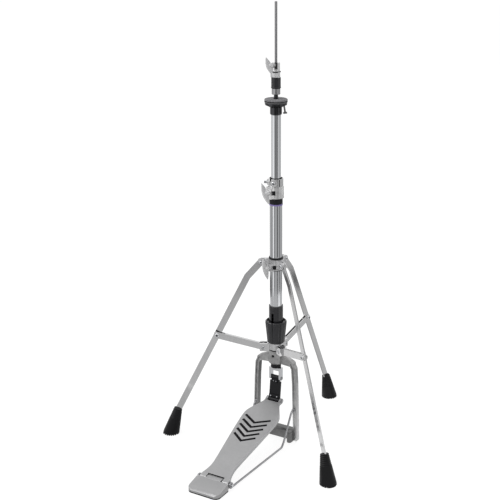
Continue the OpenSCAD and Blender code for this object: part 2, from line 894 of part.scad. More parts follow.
module seat_cup() {
    color(black)
        difference() {
            translate([0, 0, cup_z])
                rotate_extrude()
                    polygon([
                        [neck_d / 2 + play, 0], [seat_sleeve_d / 2, 0], [cup_rim_d / 2, cup_h - 2.5],
                        [cup_rim_d / 2, cup_h], [neck_d / 2 + play, cup_h]
                    ]);
            tilter_place()
                cylinder(d = tilter_d + 2 * play, h = 4 * cup_h, center = true);
        }
}

module tilter_screw() {
    head_w = 9;
    color(chrome)
        tilter_place() {
            translate([0, 0, -tilter_len])
                cylinder(d = tilter_d, h = tilter_len - 1.2);
            translate([0, 0, -tilter_len])
                cylinder(d = tilter_d + 2, h = 3);
            translate([-head_w / 2, -1.25, -tilter_len - 1])
                cube([head_w, 2.5, 4]);
        }
}

module tilt_plate() {
    color(black)
        ring(plate_d, neck_d + 2 * tilt_play, plate_z, tilt_plate_t);
}

module lower_felt() {
    color(felt_grey)
        ring(felt_d, neck_d + 2 * tilt_play, felt_z, felt_t);
}

module upper_felt() {
    color(felt_grey)
        ring(felt_d, neck_d + 2 * tilt_play, felt_z + felt_t, felt_t);
}

module clutch_tube() {
    color(chrome)
        ring(clutch_tube_d, rod_d + 2 * play, nut_z + 1, clutch_body_z + clutch_floor / 2 - nut_z - 1);
}

module clutch_nut() {
    color(chrome)
        difference() {
            translate([0, 0, nut_z])
                cylinder(d = clutch_nut_d, h = clutch_nut_h, $fn = 6);
            translate([0, 0, nut_z + 1 - gap])
                cylinder(d = clutch_tube_d + 2 * play, h = clutch_nut_h);
            translate([0, 0, nut_z - 1])
                cylinder(d = rod_d + 4 * gap, h = clutch_nut_h);
        }
}

module clutch_sleeve() {
    color(black)
        difference() {
            union() {
                translate([0, 0, clutch_sleeve_z])
                    cylinder(d = clutch_sleeve_d, h = clutch_sleeve_h);
                translate([0, 0, clutch_sleeve_z])
                    cylinder(d = clutch_sleeve_d + 1, h = 2.5);
            }
            translate([0, 0, clutch_sleeve_z - 1])
                cylinder(d = clutch_tube_d + 2 * play, h = clutch_sleeve_h + 2);
        }
}

module lock_nut() {
    lobes = 3;
    color(chrome)
        difference() {
            translate([0, 0, lock_nut_z])
                linear_extrude(lock_nut_h) {
                    circle(d = lock_nut_d * 0.8);
                    for (i = [0 : lobes - 1])
                        taper2d([0, 0], lock_nut_d * 0.4 * [cos(120 * i - 20), sin(120 * i - 20)], 12, 6);
                }
            translate([0, 0, lock_nut_z - 1])
                cylinder(d = clutch_tube_d + 2 * play, h = lock_nut_h + 2);
        }
}

module clutch_body() {
    color(chrome)
        difference() {
            union() {
                translate([0, 0, clutch_body_z])
                    cylinder(d = clutch_body_w, h = clutch_body_h);
                bearing(wing_bearing)
                    radial_rod(wing_bolt_d + 5, 0, clutch_body_w / 2 + 2, clutch_bolt_z);
            }
            translate([0, 0, clutch_body_z - 1])
                cylinder(d = rod_d + 2 * play, h = clutch_body_h + 2);
            translate([0, 0, clutch_body_z - 1])
                cylinder(d = clutch_tube_d + 2 * play, h = clutch_floor / 2 + 1);
            bearing(clutch_slot_bearing)
                translate([0, -clutch_slot_w / 2, clutch_body_z + clutch_floor])
                    cube([clutch_body_w, clutch_slot_w, clutch_body_h]);
            bearing(wing_bearing)
                radial_rod(wing_bolt_d + 2 * play, 0, clutch_body_w, clutch_bolt_z);
        }
}

module clutch_wing() {
    color(chrome)
        bearing(wing_bearing)
            translate([0, 0, clutch_bolt_z])
                wing_bolt(rod_d / 2 + gap, clutch_body_w / 2 + 2 + gap, clutch_wing_reach, wing_tilt);
}

module height_wing() {
    color(chrome)
        bearing(wing_bearing)
            translate([0, 0, clamp_bolt_z])
                wing_bolt(clamp_bush_d / 2 + gap, wing_seat_r, wing_reach, wing_tilt);
}

module tripod_collar() {
    color(chrome)
        difference() {
            union() {
                translate([0, 0, collar_z])
                    cylinder(d = collar_d, h = collar_h);
                for (angle = leg_bearings)
                    bearing(angle)
                        upright(leg_fork + 2 * ear_t)
                            taper2d([collar_d / 2 - 6, leg_pivot.y - 1], leg_pivot, 20, leg_w + 1);
                bearing(collar_wing_bearing)
                    bolt_block(15, collar_bolt_z, collar_seat_r);
            }
            translate([0, 0, collar_z - 1])
                cylinder(d = collar_bush_d + 2 * play, h = collar_h + 2);
            for (angle = leg_bearings)
                bearing(angle) {
                    translate([leg_pivot.x - leg_w / 2 - 1, -leg_fork / 2, collar_z - collar_h])
                        cube([2 * leg_w, leg_fork, 3 * collar_h]);
                    translate([leg_pivot.x, 0, leg_pivot.y])
                        rotate([90, 0, 0])
                            cylinder(d = pivot_pin_d, h = collar_d, center = true);
                }
            bearing(collar_wing_bearing)
                bolt_room(collar_d, collar_bolt_z);
        }
}

module collar_bush() {
    color(black) {
        ring(collar_flange_d, lower_tube_d + 2 * play, collar_top, collar_rim_h);
        ring(collar_bush_d, lower_tube_d + 2 * play, collar_z, collar_h);
        ring(collar_flange_d, lower_tube_d + 2 * play, collar_z - collar_flange_h, collar_flange_h);
    }
}

module leg_pins() {
    color(chrome)
        for (angle = leg_bearings)
            bearing(angle)
                slot_pin(leg_pivot, leg_fork + 2 * ear_t);
}

module collar_wing() {
    color(chrome)
        bearing(collar_wing_bearing)
            translate([0, 0, collar_bolt_z])
                wing_bolt(collar_bush_d / 2 + gap, collar_seat_r, wing_reach, collar_wing_tilt);
}

// The leg's outline in its own upright plane, widened by an allowance
module leg2d(more) {
    chain2d([leg_pivot, knee, leg_end], leg_w + more);
}

module leg(side) {
    color(satin)
        bearing(leg_bearings[side])
            difference() {
                upright(leg_t)
                    leg2d(0);
                translate([leg_pivot.x, 0, leg_pivot.y])
                    rotate([90, 0, 0])
                        cylinder(d = pivot_pin_d + 2 * play, h = 2 * leg_t, center = true);
            }
}

// The rubber foot's half outline: ribbed neck on a cone that runs straight down past the floor
module foot2d() {
    ribs = 6;
    rib_pitch = 4.3;
    rib_depth = 0.9;
    top = 8;
    bottom = -foot_h * 1.3;
    neck_r = foot_neck_d / 2;
    base_r = foot_base_d / 2;
    slope = (base_r - neck_r) / (foot_h + top);
    polygon(concat(
        [[0, top], [neck_r - 1, top], [neck_r, top - 1]],
        [for (i = [1 : 2 * ribs])
            let (down = 1 + rib_pitch / 2 * i)
                [neck_r + slope * down - (i % 2) * rib_depth, top - down]],
        [[base_r, -foot_h], [base_r, bottom], [0, bottom]]
    ));
}

// The grooves across the foot's sole
module sole_grooves() {
    groove = 2.4;
    pitch = 5;
    sole_x = foot_neck.x + foot_h * tan(foot_lean);
    for (i = [-3 : 3])
        translate([sole_x + pitch * i - groove / 2, -foot_base_d, -1])
            cube([groove, 2 * foot_base_d, 3]);
}

module foot(side) {
    color(rubber)
        bearing(leg_bearings[side])
            difference() {
                translate([foot_neck.x, 0, foot_neck.y])
                    rotate([0, -foot_lean, 0])
                        rotate_extrude()
                            foot2d();
                upright(leg_t + 2 * play)
                    leg2d(2 * play);
                translate([foot_neck.x - foot_h, -foot_h, -foot_h])
                    cube([3 * foot_h, 2 * foot_h, foot_h]);
                sole_grooves();
            }
}

// A pressed channel from the spider to the leg: two cheeks, a web on top and two rivet heads
module stay(side) {
    web_from = stay_h / 2 + 4;
    web_to = stay_len - 18;
    color(satin)
        bearing(leg_bearings[side])
            translate([stay_pivot.x, 0, stay_pivot.y])
                rotate([0, -stay_angle, 0])
                    difference() {
                        union() {
                            for (cheek = [-1, 1])
                                translate([0, cheek * (stay_inside + stay_sheet) / 2, 0])
                                    upright(stay_sheet)
                                        taper2d([0, 0], [stay_len, 0], stay_h, stay_h);
                            translate([web_from, -stay_outside / 2, stay_h / 2 - stay_sheet])
                                cube([web_to - web_from, stay_outside, stay_sheet]);
                            for (cheek = [0, 1])
                                mirror([0, cheek, 0])
                                    translate([stay_len, stay_outside / 2 - 0.5, 0])
                                        rotate([-90, 0, 0])
                                            cylinder(d = stay_head_d, h = stay_head_h + 0.5);
                        }
                        rotate([90, 0, 0])
                            cylinder(d = pivot_pin_d + 2 * play, h = 2 * stay_outside, center = true);
                    }
}

module tension_knob() {
    lip = 4;
    slope = atan((knob_top_d - knob_bottom_d) / 2 / knob_h);
    flute_d = 12;
    color(black)
        translate([0, 0, knob_z])
            difference() {
                rotate_extrude()
                    polygon([
                        [sleeve_d / 2 + play, 0], [knob_bottom_d / 2 - 1.5, 0], [knob_bottom_d / 2, 1.5],
                        [knob_top_d / 2, knob_h - 4], [knob_top_d / 2 - 0.5, knob_h - 1.5],
                        [knob_top_d / 2 - 2, knob_h], [knob_top_d / 2 - 4, knob_h],
                        [knob_top_d / 2 - 5, knob_h - lip], [sleeve_d / 2 + play, knob_h - lip],
                        [sleeve_d / 2 + play, thread_z - knob_z + thread_h], [thread_d / 2, thread_z - knob_z + thread_h],
                        [thread_d / 2, thread_z - knob_z], [sleeve_d / 2 + play, thread_z - knob_z]
                    ]);
                for (i = [0 : knob_flutes - 1])
                    rotate([0, 0, (i + 0.5) * 360 / knob_flutes])
                        translate([knob_bottom_d / 2 + flute_d / 2 - 1.2, 0, 0])
                            rotate([0, slope, 0])
                                translate([0, 0, -5])
                                    cylinder(d = flute_d, h = knob_h - 4);
            }
}

module spring_seat() {
    color(dark_steel)
        difference() {
            union() {
                translate([0, 0, ear_z])
                    cylinder(d = lower_tube_bore - 2 * gap, h = ear_h);
                intersection() {
                    translate([-slot_w / 2 + gap, -sleeve_d, ear_z])
                        cube([slot_w - 2 * gap, 2 * sleeve_d, ear_h]);
                    translate([0, 0, ear_z])
                        cylinder(d = thread_d - 2 * gap, h = ear_h);
                }
            }
            translate([0, 0, ear_z - 1])
                cylinder(d = lower_rod_d + 2 * rod_side_play, h = ear_h + 2);
        }
}

// The return spring's centre line, eight points to a coil
coil_rings = 8;
coil_sides = 6;
coil_count = spring_coils * coil_rings;
coil_r = (spring_d - spring_wire) / 2;
coil_pitch = (spring_len - spring_wire - 2 * gap) / spring_coils;
coil_path = [
    for (i = [0 : coil_count])
        [coil_r * cos(360 * i / coil_rings), coil_r * sin(360 * i / coil_rings),
            spring_z + gap + spring_wire / 2 + coil_pitch * i / coil_rings]
];
coil_least_gap = min([
    for (i = [0 : coil_rings], j = [i + coil_rings / 2 : coil_count])
        norm(coil_path[i] - coil_path[j])
]) - spring_wire;

module return_spring() {
    echo(str("return spring, least gap between coils: ", coil_least_gap, " mm"));
    color(dark_steel)
        tube_along(coil_path, spring_wire, coil_sides, [0, 0, 1]);
}

// The footboard's half width at a distance from the hinge, smoothed between its stations
function station_slope(i) = i == 0 || i == len(stations) - 1 ? 0
    : (stations[i + 1][1] - stations[i - 1][1]) / (stations[i + 1][0] - stations[i - 1][0]);
function between(i, t) = let (l = stations[i + 1][0] - stations[i][0])
    (2 * pow(t, 3) - 3 * pow(t, 2) + 1) * stations[i][1] + (pow(t, 3) - 2 * pow(t, 2) + t) * l * station_slope(i)
    + (3 * pow(t, 2) - 2 * pow(t, 3)) * stations[i + 1][1] + (pow(t, 3) - pow(t, 2)) * l * station_slope(i + 1);
function board_edge(inset) = [
    for (i = [0 : len(stations) - 2], t = [0 : 0.25 : 0.75])
        [between(i, t) - inset, stations[i][0] + t * (stations[i + 1][0] - stations[i][0])]
];

// The footboard's outline between two distances from the hinge, drawn in from its edge
module board2d(inset, from, to) {
    whole = concat(board_edge(inset), [[stations[len(stations) - 1][1] - inset, neck_end]]);
    edge = [for (p = whole) if (p.y >= from && p.y <= to) p];
    polygon(concat(edge, [for (i = [len(edge) - 1 : -1 : 0]) [-edge[i].x, edge[i].y]]));
}

// Places what is drawn in the footboard's own frame
module board_place() {
    translate([0, -hinge_front, hinge_z])
        rotate([board_angle, 0, 0])
            children();
}

// The anti-slip grooves, each one a chevron that points to the heel
module board_grooves() {
    for (i = [0 : groove_count - 1]) {
        apex = groove_start + i * groove_pitch;
        reach = groove_reach + 1.3 * i;
        side = groove_w / 2 * unit([-groove_rise, reach]);
        lift = groove_w / 2 * norm([groove_rise, reach]) / reach;
        right = [reach, apex + groove_rise];
        translate([-groove_shift, 0])
            polygon([
                [0, apex - lift], right - side, right + side, [0, apex + lift],
                [-right.x - side.x, right.y + side.y], [side.x - right.x, right.y - side.y]
            ]);
    }
}

module footboard() {
    color(satin)
        board_place()
            difference() {
                union() {
                    translate([0, 0, board_floor])
                        linear_extrude(board_t)
                            board2d(0, 0, neck_end);
                    for (side = [-1, 1])
                        translate([side * (ear_inner_x + ear_outer_x) / 2, 0, 0])
                            cross_pin(knuckle_d, ear_outer_x - ear_inner_x);
                    for (side = [-1, 1])
                        translate([side * (toe_fork_x + toe_ear_t / 2), 0, 0])
                            rotate([90, 0, 90])
                                linear_extrude(toe_ear_t, center = true)
                                    taper2d([neck_end - 6, board_top - board_t / 2], [board_len, toe_up],
                                        board_t - 1.5, toe_ear_d);
                }
                translate([0, 0, board_floor - 1])
                    linear_extrude(board_t - board_skin + 1)
                        board2d(board_rim, 2 * knuckle_r, neck_end - 9);
                translate([0, 0, board_top - groove_depth])
                    linear_extrude(board_t)
                        board_grooves();
                translate([-ear_inner_x, -knuckle_d, -knuckle_d])
                    cube([2 * ear_inner_x, knuckle_d + knuckle_r + 0.7, 2 * knuckle_d]);
                translate([-toe_fork_x, board_len - toe_ear_d / 2 - toe_pin_play - 2, -knuckle_d])
                    cube([2 * toe_fork_x, 2 * toe_ear_d, 2 * knuckle_d]);
                cross_pin(hinge_pin_d + 2 * play, 3 * heel_w);
                translate([0, board_len, toe_up])
                    cross_pin(toe_pin_d, 4 * toe_fork_x);
            }
}

module toe_pin() {
    pin_l = 2 * (toe_fork_x + toe_ear_t);
    color(dark_steel)
        board_place()
            translate([0, board_len, toe_up]) {
                cross_pin(toe_pin_d, pin_l);
                for (side = [-1, 1])
                    translate([side * (pin_l / 2 + 0.75), 0, 0])
                        cross_pin(toe_pin_d + 3, 1.5);
            }
}

module lower_rod() {
    color(dark_steel)
        translate([0, 0, yoke_top - bridge_h])
            cylinder(d = lower_rod_d, h = rod_joint_z - yoke_top + bridge_h);
}

module upper_rod() {
    color(dark_steel)
        difference() {
            union() {
                translate([0, 0, rod_joint_z])
                    cylinder(d = rod_d, h = rod_tip - 1 - rod_joint_z);
                translate([0, 0, rod_tip - 1])
                    cylinder(d1 = rod_d, d2 = rod_d - 1.6, h = 1);
            }
            ring(rod_d + 2, witness_d, witness_z, witness_h);
        }
}

module rod_coupler() {
    color(dark_steel)
        difference() {
            union() {
                translate([0, 0, stop_z])
                    cylinder(d = lower_tube_bore - 2 * gap, h = stop_t);
                translate([0, 0, stop_z])
                    cylinder(d = coupler_d, h = coupler_h, $fn = 6);
            }
            translate([0, 0, stop_z - 1])
                cylinder(d = lower_rod_d + 2 * play, h = coupler_h / 2 + 1);
            translate([0, 0, stop_z])
                cylinder(d = rod_d + 2 * play, h = coupler_h + 1);
        }
}

module yoke() {
    leg_mid = yoke_leg_x + yoke_leg_t / 2;
    color(chrome)
        difference() {
            union() {
                for (side = [-1, 1])
                    translate([side * leg_mid, 0, 0])
                        rotate([90, 0, 90])
                            linear_extrude(yoke_leg_t, center = true) {
                                translate([0, yoke_pin_z])
                                    circle(d = yoke_depth);
                                translate([-yoke_depth / 2, yoke_pin_z])
                                    square([yoke_depth, yoke_top - yoke_pin_z]);
                            }
                translate([-leg_mid, -yoke_depth / 2, yoke_top - bridge_h])
                    cube([2 * leg_mid, yoke_depth, bridge_h]);
            }
            translate([0, 0, yoke_pin_z])
                cross_pin(yoke_pin_d, 4 * leg_mid);
            translate([0, 0, yoke_top - 2 * bridge_h])
                cylinder(d = lower_rod_d, h = 3 * bridge_h);
        }
}

module yoke_pin() {
    pin_l = 2 * (yoke_leg_x + yoke_leg_t);
    color(dark_steel)
        translate([0, 0, yoke_pin_z]) {
            cross_pin(yoke_pin_d, pin_l);
            for (side = [-1, 1])
                translate([side * (pin_l / 2 + 0.75), 0, 0])
                    cross_pin(yoke_pin_d + 3, 1.5);
        }
}

module strap() {
    eye_w = 2 * (yoke_leg_x - gap);
    eye_d = 11;
    toe_eye_d = toe_pin_d + 2 * toe_pin_play + 4;
    edge = yoke_depth / 2 + 3;
    color(black)
        translate([0, 0, yoke_pin_z])
            rotate([-strap_angle, 0, 0])
                difference() {
                    union() {
                        cross_pin(eye_d, eye_w);
                        translate([-eye_w / 2, -strap_t / 2, -edge - 1])
                            cube([eye_w, strap_t, edge + 1]);
                        translate([-strap_w / 2, -strap_t / 2, -strap_len])
                            cube([strap_w, strap_t, strap_len - edge]);
                        translate([0, 0, -strap_len])
                            cross_pin(toe_eye_d, strap_w);
                    }
                    cross_pin(yoke_pin_d + 2 * play, 2 * strap_w);
                    translate([0, 0, -strap_len])
                        cross_pin(toe_pin_d + 2 * toe_pin_play, 2 * strap_w);
                }
}

lower_tube();
clamp_bush();
tint_ring();
height_clamp();
tension_sleeve();
spider();
spider_bolts();
frame_casting();
base_bar();
base_pads();
set_screw();
rod_bush();
radius_rods();
heel_plate();
heel_mat();
hinge_pin();
upper_tube();
tube_guide();
memory_lock();
seat_sleeve();
seat_neck();
seat_cup();
key_bolt();
tilt_plate();
lower_felt();
upper_felt();
tilter_screw();
clutch_body();
clutch_tube();
clutch_sleeve();
lock_nut();
clutch_nut();
clutch_wing();
height_wing();
tripod_collar();
collar_bush();
leg_pins();
collar_wing();
leg(0);  // leg_back
leg(1);  // leg_left
leg(2);  // leg_right
foot(0);  // foot_back
foot(1);  // foot_left
foot(2);  // foot_right
stay(0);  // stay_back
stay(1);  // stay_left
stay(2);  // stay_right
tension_knob();
spring_seat();
return_spring();
footboard();
toe_pin();
lower_rod();
upper_rod();
rod_coupler();
yoke();
yoke_pin();
strap();
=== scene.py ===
"""Looks of a hi-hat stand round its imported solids: finishes, rounded edges, felts and a plain studio."""

import json
import math

import bmesh
import bpy
from bpy.props import FloatProperty, FloatVectorProperty, PointerProperty
from mathutils import Matrix, Vector, noise


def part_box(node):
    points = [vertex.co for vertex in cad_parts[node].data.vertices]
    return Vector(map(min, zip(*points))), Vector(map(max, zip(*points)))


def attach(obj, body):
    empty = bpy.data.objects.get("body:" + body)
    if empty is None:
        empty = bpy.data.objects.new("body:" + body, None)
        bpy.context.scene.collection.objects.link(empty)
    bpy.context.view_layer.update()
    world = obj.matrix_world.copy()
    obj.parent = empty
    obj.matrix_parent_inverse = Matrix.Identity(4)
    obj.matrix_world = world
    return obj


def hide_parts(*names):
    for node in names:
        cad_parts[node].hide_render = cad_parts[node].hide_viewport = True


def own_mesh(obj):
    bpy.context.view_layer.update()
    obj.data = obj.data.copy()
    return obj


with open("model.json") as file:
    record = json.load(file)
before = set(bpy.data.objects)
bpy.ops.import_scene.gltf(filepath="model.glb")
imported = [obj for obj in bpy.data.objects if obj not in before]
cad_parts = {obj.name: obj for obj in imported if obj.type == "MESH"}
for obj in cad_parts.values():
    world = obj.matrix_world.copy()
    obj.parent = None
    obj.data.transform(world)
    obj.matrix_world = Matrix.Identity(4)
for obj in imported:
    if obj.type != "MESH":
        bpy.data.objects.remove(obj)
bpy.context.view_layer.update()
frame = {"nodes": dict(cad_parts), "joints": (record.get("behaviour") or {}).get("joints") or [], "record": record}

bl_info = {
    "name": "Hi-hat stand",
    "version": (1, 0, 0),
    "blender": (4, 5, 0),
    "location": "3D View > Sidebar > Hi-hat stand",
    "description": "Dresses the solids of a hi-hat stand with finishes, rounded edges and a studio",
    "category": "Object",
}

NODES = frame["nodes"]
BODY_OF = {node: body for body, group in frame["record"]["behaviour"]["bodies"].items() for node in group}
SLOT_OF = {part["node"]: part["material_slot"] for part in frame["record"]["subparts"]}
JOINTS = {joint["name"]: joint for joint in frame["joints"]}
MM = 0.001
SIDES = ("back", "left", "right")

# Mesh making: welding distance, flat limit, angle from which an edge is hard, sides of a round piece
WELD = 2e-6
FLAT = math.radians(0.6)
HARD_EDGE = math.radians(32)
ROUND_SIDES = 96

# Worn edges are lighter by this factor, and the noise in the finishes lies between these values
WEAR_LIGHT = 1.6
NOISE_LOW = 0.3
NOISE_HIGH = 0.7

# Footboard, in its own frame: its slope, its grooves, and how far their inlays keep from walls and top
BOARD_ANGLE = 17.3
GROOVES = 5
GROOVE_START = 0.1245
GROOVE_PITCH = 0.01585
GROOVE_RISE = 0.0185
GROOVE_REACH = 0.029
GROOVE_WIDEN = 0.0013
GROOVE_SHIFT = 0.004
GRIP_PLAY = 0.00005
GRIP_SINK = 0.00022

# Radius rods, right hand one, in millimetres: the route and its bends, the eye's centre and radius,
# the degrees that the eye goes round, and the ferrule's place along Y and its (distance, radius) outline
WIRE_ROUTE = (
    (51.5, 2.7, 82.0), (51.5, -15.0, 82.0), (47.5, -45.0, 15.0), (47.5, -55.0, 4.0), (42.0, -272.0, 6.45),
)
WIRE_BEND = 4.5
WIRE_EYE = (42.0, -272.0, 11.5, 5.05)
EYE_TURN = 300
EYE_STEP = 10
FERRULE_Y = -5.0
FERRULE = ((0.0, 4.0), (0.4, 4.5), (2.2, 4.5), (2.8, 3.6))

# Black strip along the top of the back stay that paints the shade inside its channel: its ends from pivot and
# rivet, its height above them, its section
GAP_START = 0.014
GAP_END = 0.02
GAP_UP = 0.008
GAP_WIDTH = 0.0042
GAP_DEPTH = 0.0003
GAP_EDGE = 0.00005

# Tension knob: its lobes, the bearing of one valley, the steps round each lobe and how late it drops,
# then its lip and rim, how far its bulge, crown and dish lie inside its widest radius,
# and the room that it leaves above and below the spring seat's ears
KNOB_LOBES = 8
KNOB_VALLEY = 9.0
LOBE_STEPS = 24
LOBE_POWER = 6
KNOB_LIP = 0.004
KNOB_RIM = 0.0015
KNOB_BULGE = 0.0005
KNOB_CROWN = 0.002
KNOB_DISH = 0.005
KNOB_ROOM = 0.012

# Return spring: its coils and the steps in each
SPRING_COILS = 7
COIL_STEPS = 32

# Wing bolts: their tilts, then the (distance, radius) outlines of shank and hub in millimetres
WING_TILT = 30.0
COLLAR_WING_TILT = 18.0
WING_SHANK = ((-8.5, 2.9), (0.5, 2.9))
WING_HUB = ((0.0, 4.6), (0.4, 5.3), (5.0, 5.4), (8.4, 4.6), (10.4, 2.6))

# The leaf of their wings: distance from the seat, stations, how late it narrows, the tips' share of the
# width, thickness at the tips, swell in the middle and how soon it swells
LEAF_CLEAR = 0.0005
LEAF_STATIONS = 20
LEAF_POWER = 1.9
LEAF_TIP = 0.06
LEAF_THIN = 0.0005
LEAF_SWELL = 0.00175
SWELL_POWER = 0.6

# Felts: rings across, sides, scale of the noise in the nap and the share of the nap that it moves
FELT_RINGS = 12
FELT_SIDES = 128
NAP_SCALE = 900
NAP_SHARE = 0.9

# Thin black rings that paint the shade in seams between parts: width of their pointed rims, then inner radius,
# outer radius and half the thickness
SHADE_RING_POINT = 0.0003
CLUTCH_SHADE_RING = (0.0072, 0.0106, 0.0010)
LOCK_SHADE_RING = (0.0112, 0.0146, 0.0005)
FELT_SHADE_INSET = 0.0002
FELT_SHADE_HALF = 0.0008

# Lap of the violet ring: its play round the band, its thickness and the round of its lower edge
LAP_PLAY = 0.00003
LAP_SKIN = 0.00015
LAP_ROUND = 0.0006

# Screw and rivet heads: (radius, height) shares of the dome, then the socket's width and floor as shares
HEAD_DOME = ((1.0, 0.0), (0.97, 0.45), (0.82, 0.85), (0.6, 1.0))
SOCKET_WIDTH = 0.5
SOCKET_FLOOR = 0.3

# Radius and height of the heads of the rivets, of the pins and bolts, and of the memory lock's screw
RIVET_HEAD = (0.0052, 0.0012)
PIN_HEAD = (0.0038, 0.0009)
LOCK_HEAD = (0.0042, 0.0012)

# Stay rivets: distance from the column's axis, height, and half the width over their heads
RIVET_R = 0.140
RIVET_Z = 0.2620
RIVET_OUT = 0.0064

# Half the widths over the heads of the leg pins and of the spider's bolts
LEG_PIN_OUT = 0.0069
SPIDER_BOLT_OUT = 0.0085

# Screw in the memory lock's boss: bearing, distance from the axis, height
LOCK_SCREW = (283.0, 0.0215, 0.6388)

# Legs below the knee: slope from the vertical
LEG_SLOPE = 26.3

# Black bands on the legs that paint the shade in each stay's open end: how far above the rivet, inward and to one
# side they lie, their size and edges
BAND_UP = 0.0092
BAND_IN = 0.0008
BAND_SIDE = 0.0011
BAND_SIZE = (0.0166, 0.0042, 0.0022)
BAND_EDGE = 0.0002

# Radius of the clutch nut's bore
NUT_BORE = 0.0061

# Toe pin, where the strap ends
TOE = (0.0, -0.00681, 0.09829)

# Plates on the strap's ends: distance from the end, size, spread of the two screws and radius of their heads,
# then how far the plates lie in front of the strap, their edges, and the screw heads' place and height
CLAMP_PLATE = (0.0105, (0.028, 0.0022, 0.008), 0.0085, 0.0032)
BUCKLE_PLATE = (0.0085, (0.013, 0.0022, 0.009), 0.0034, 0.0021)
PLATE_FRONT = 0.0036
PLATE_EDGE = 0.0006
PLATE_SCREW_OUT = 0.001
PLATE_SCREW_H = 0.0014

# A face whose normal has less than this share along a direction isn't turned that way
TURNED_TO = 0.5

# Hinge gap of the heel, whose walls are painted black as shade: from this place along Y, and its half width and
# depth in the footboard's frame
HEEL_GAP_Y = -0.2815
NOTCH_X = 0.0217
NOTCH_Y = 0.0095

# Radii between which the memory lock is split, and within which the clutch is slotted; the walls there are painted
# black as shade
LOCK_SPLIT = (0.0121, 0.0160)
CLUTCH_SLOT = 0.0080

# Seam below the spider, at the thin neck on top of the frame's hub, which is painted black as shade: heights and
# radius
SEAM_Z = (0.2275, 0.2315)
SEAM_R = 0.018

# The frame's arms stand further out than this, and their inner faces, which look at each other, are painted darker
# as shade
ARCH_X = 0.03

# Camera
CAMERA_PLACE = (1.183, -2.049, 1.264)
CAMERA_PITCH = 18.42
CAMERA_TURN = 30.0
CAMERA_LENS = 77.9
CAMERA_SENSOR = 36.0
CAMERA_SHIFT = -0.052

# Light of the studio, and the place, target, side and power of its lamps
WHITE = (1.0, 1.0, 1.0)
STUDIO_LIGHT = 0.62
KEY_LAMP = ((-1.9, -1.9, 2.6), (0, -0.05, 0.45), 1.6, 36.0)
FILL_LAMP = ((2.4, -0.6, 1.8), (0, -0.05, 0.4), 1.4, 10.0)

# Studio floor: half its side, its depth below the feet, the grey that a shadow takes from it and its own glow
FLOOR_HALF = 16.0
FLOOR_DROP = 0.0004
FLOOR_SHADOW = 0.30
FLOOR_GLOW = 0.84

# Grey mats on the studio floor for the bright metal to mirror, each ring laid on the one before:
# reach from, reach to, then from bearing, to bearing and grey of each mat
MATS = (
    (0.06, 0.25, ((95, 255, 0.50),)),
    (0.25, 0.65, ((20, 110, 0.62), (150, 206, 0.86), (206, 255, 0.58), (255, 345, 0.64))),
    (0.65, 1.00, ((20, 110, 0.60), (150, 206, 0.80), (206, 255, 0.58), (255, 345, 0.58))),
    (1.00, 2.30, (
        (102, 140, 0.14), (140, 190, 0.52), (190, 240, 0.40), (262, 280, 0.30), (280, 318, 0.46),
        (318, 338, 0.14), (338, 358, 0.52), (358, 382, 0.24), (382, 406, 0.48), (406, 424, 0.60),
        (424, 462, 0.34),
    )),
    (2.30, 14.0, (
        (102, 140, 0.20), (140, 226, 0.76), (256, 276, 0.46), (276, 300, 0.19), (300, 320, 0.27),
        (320, 345, 0.19), (345, 370, 0.70), (370, 462, 0.54),
    )),
    (1.03, 1.20, ((46, 64, 0.13),)),
    (0.96, 1.16, ((166, 206, 0.04),)),
)

# Depth of the first ring of mats below the feet, the rise from ring to ring and the degrees in each facet
MAT_DROP = 0.0003
MAT_RISE = 0.00002
MAT_FACET = 2

# An upright grey card beside the studio floor that keeps the legs' edges from vanishing
CARD_REACH = 3.0
CARD_FOOT = 1.2
CARD_TOP = 4.8
CARD_BEARINGS = (344, 384)
CARD_GREY = 0.48


def length(label, about, default):
    """A size in metres that a user may change."""
    return FloatProperty(name=label, description=about, default=default, min=0.0, precision=5, unit="LENGTH")


def colour(label, about, default):
    """A colour that a user may change."""
    return FloatVectorProperty(
        name=label, description=about, default=default, size=3, min=0.0, max=1.0, subtype="COLOR")


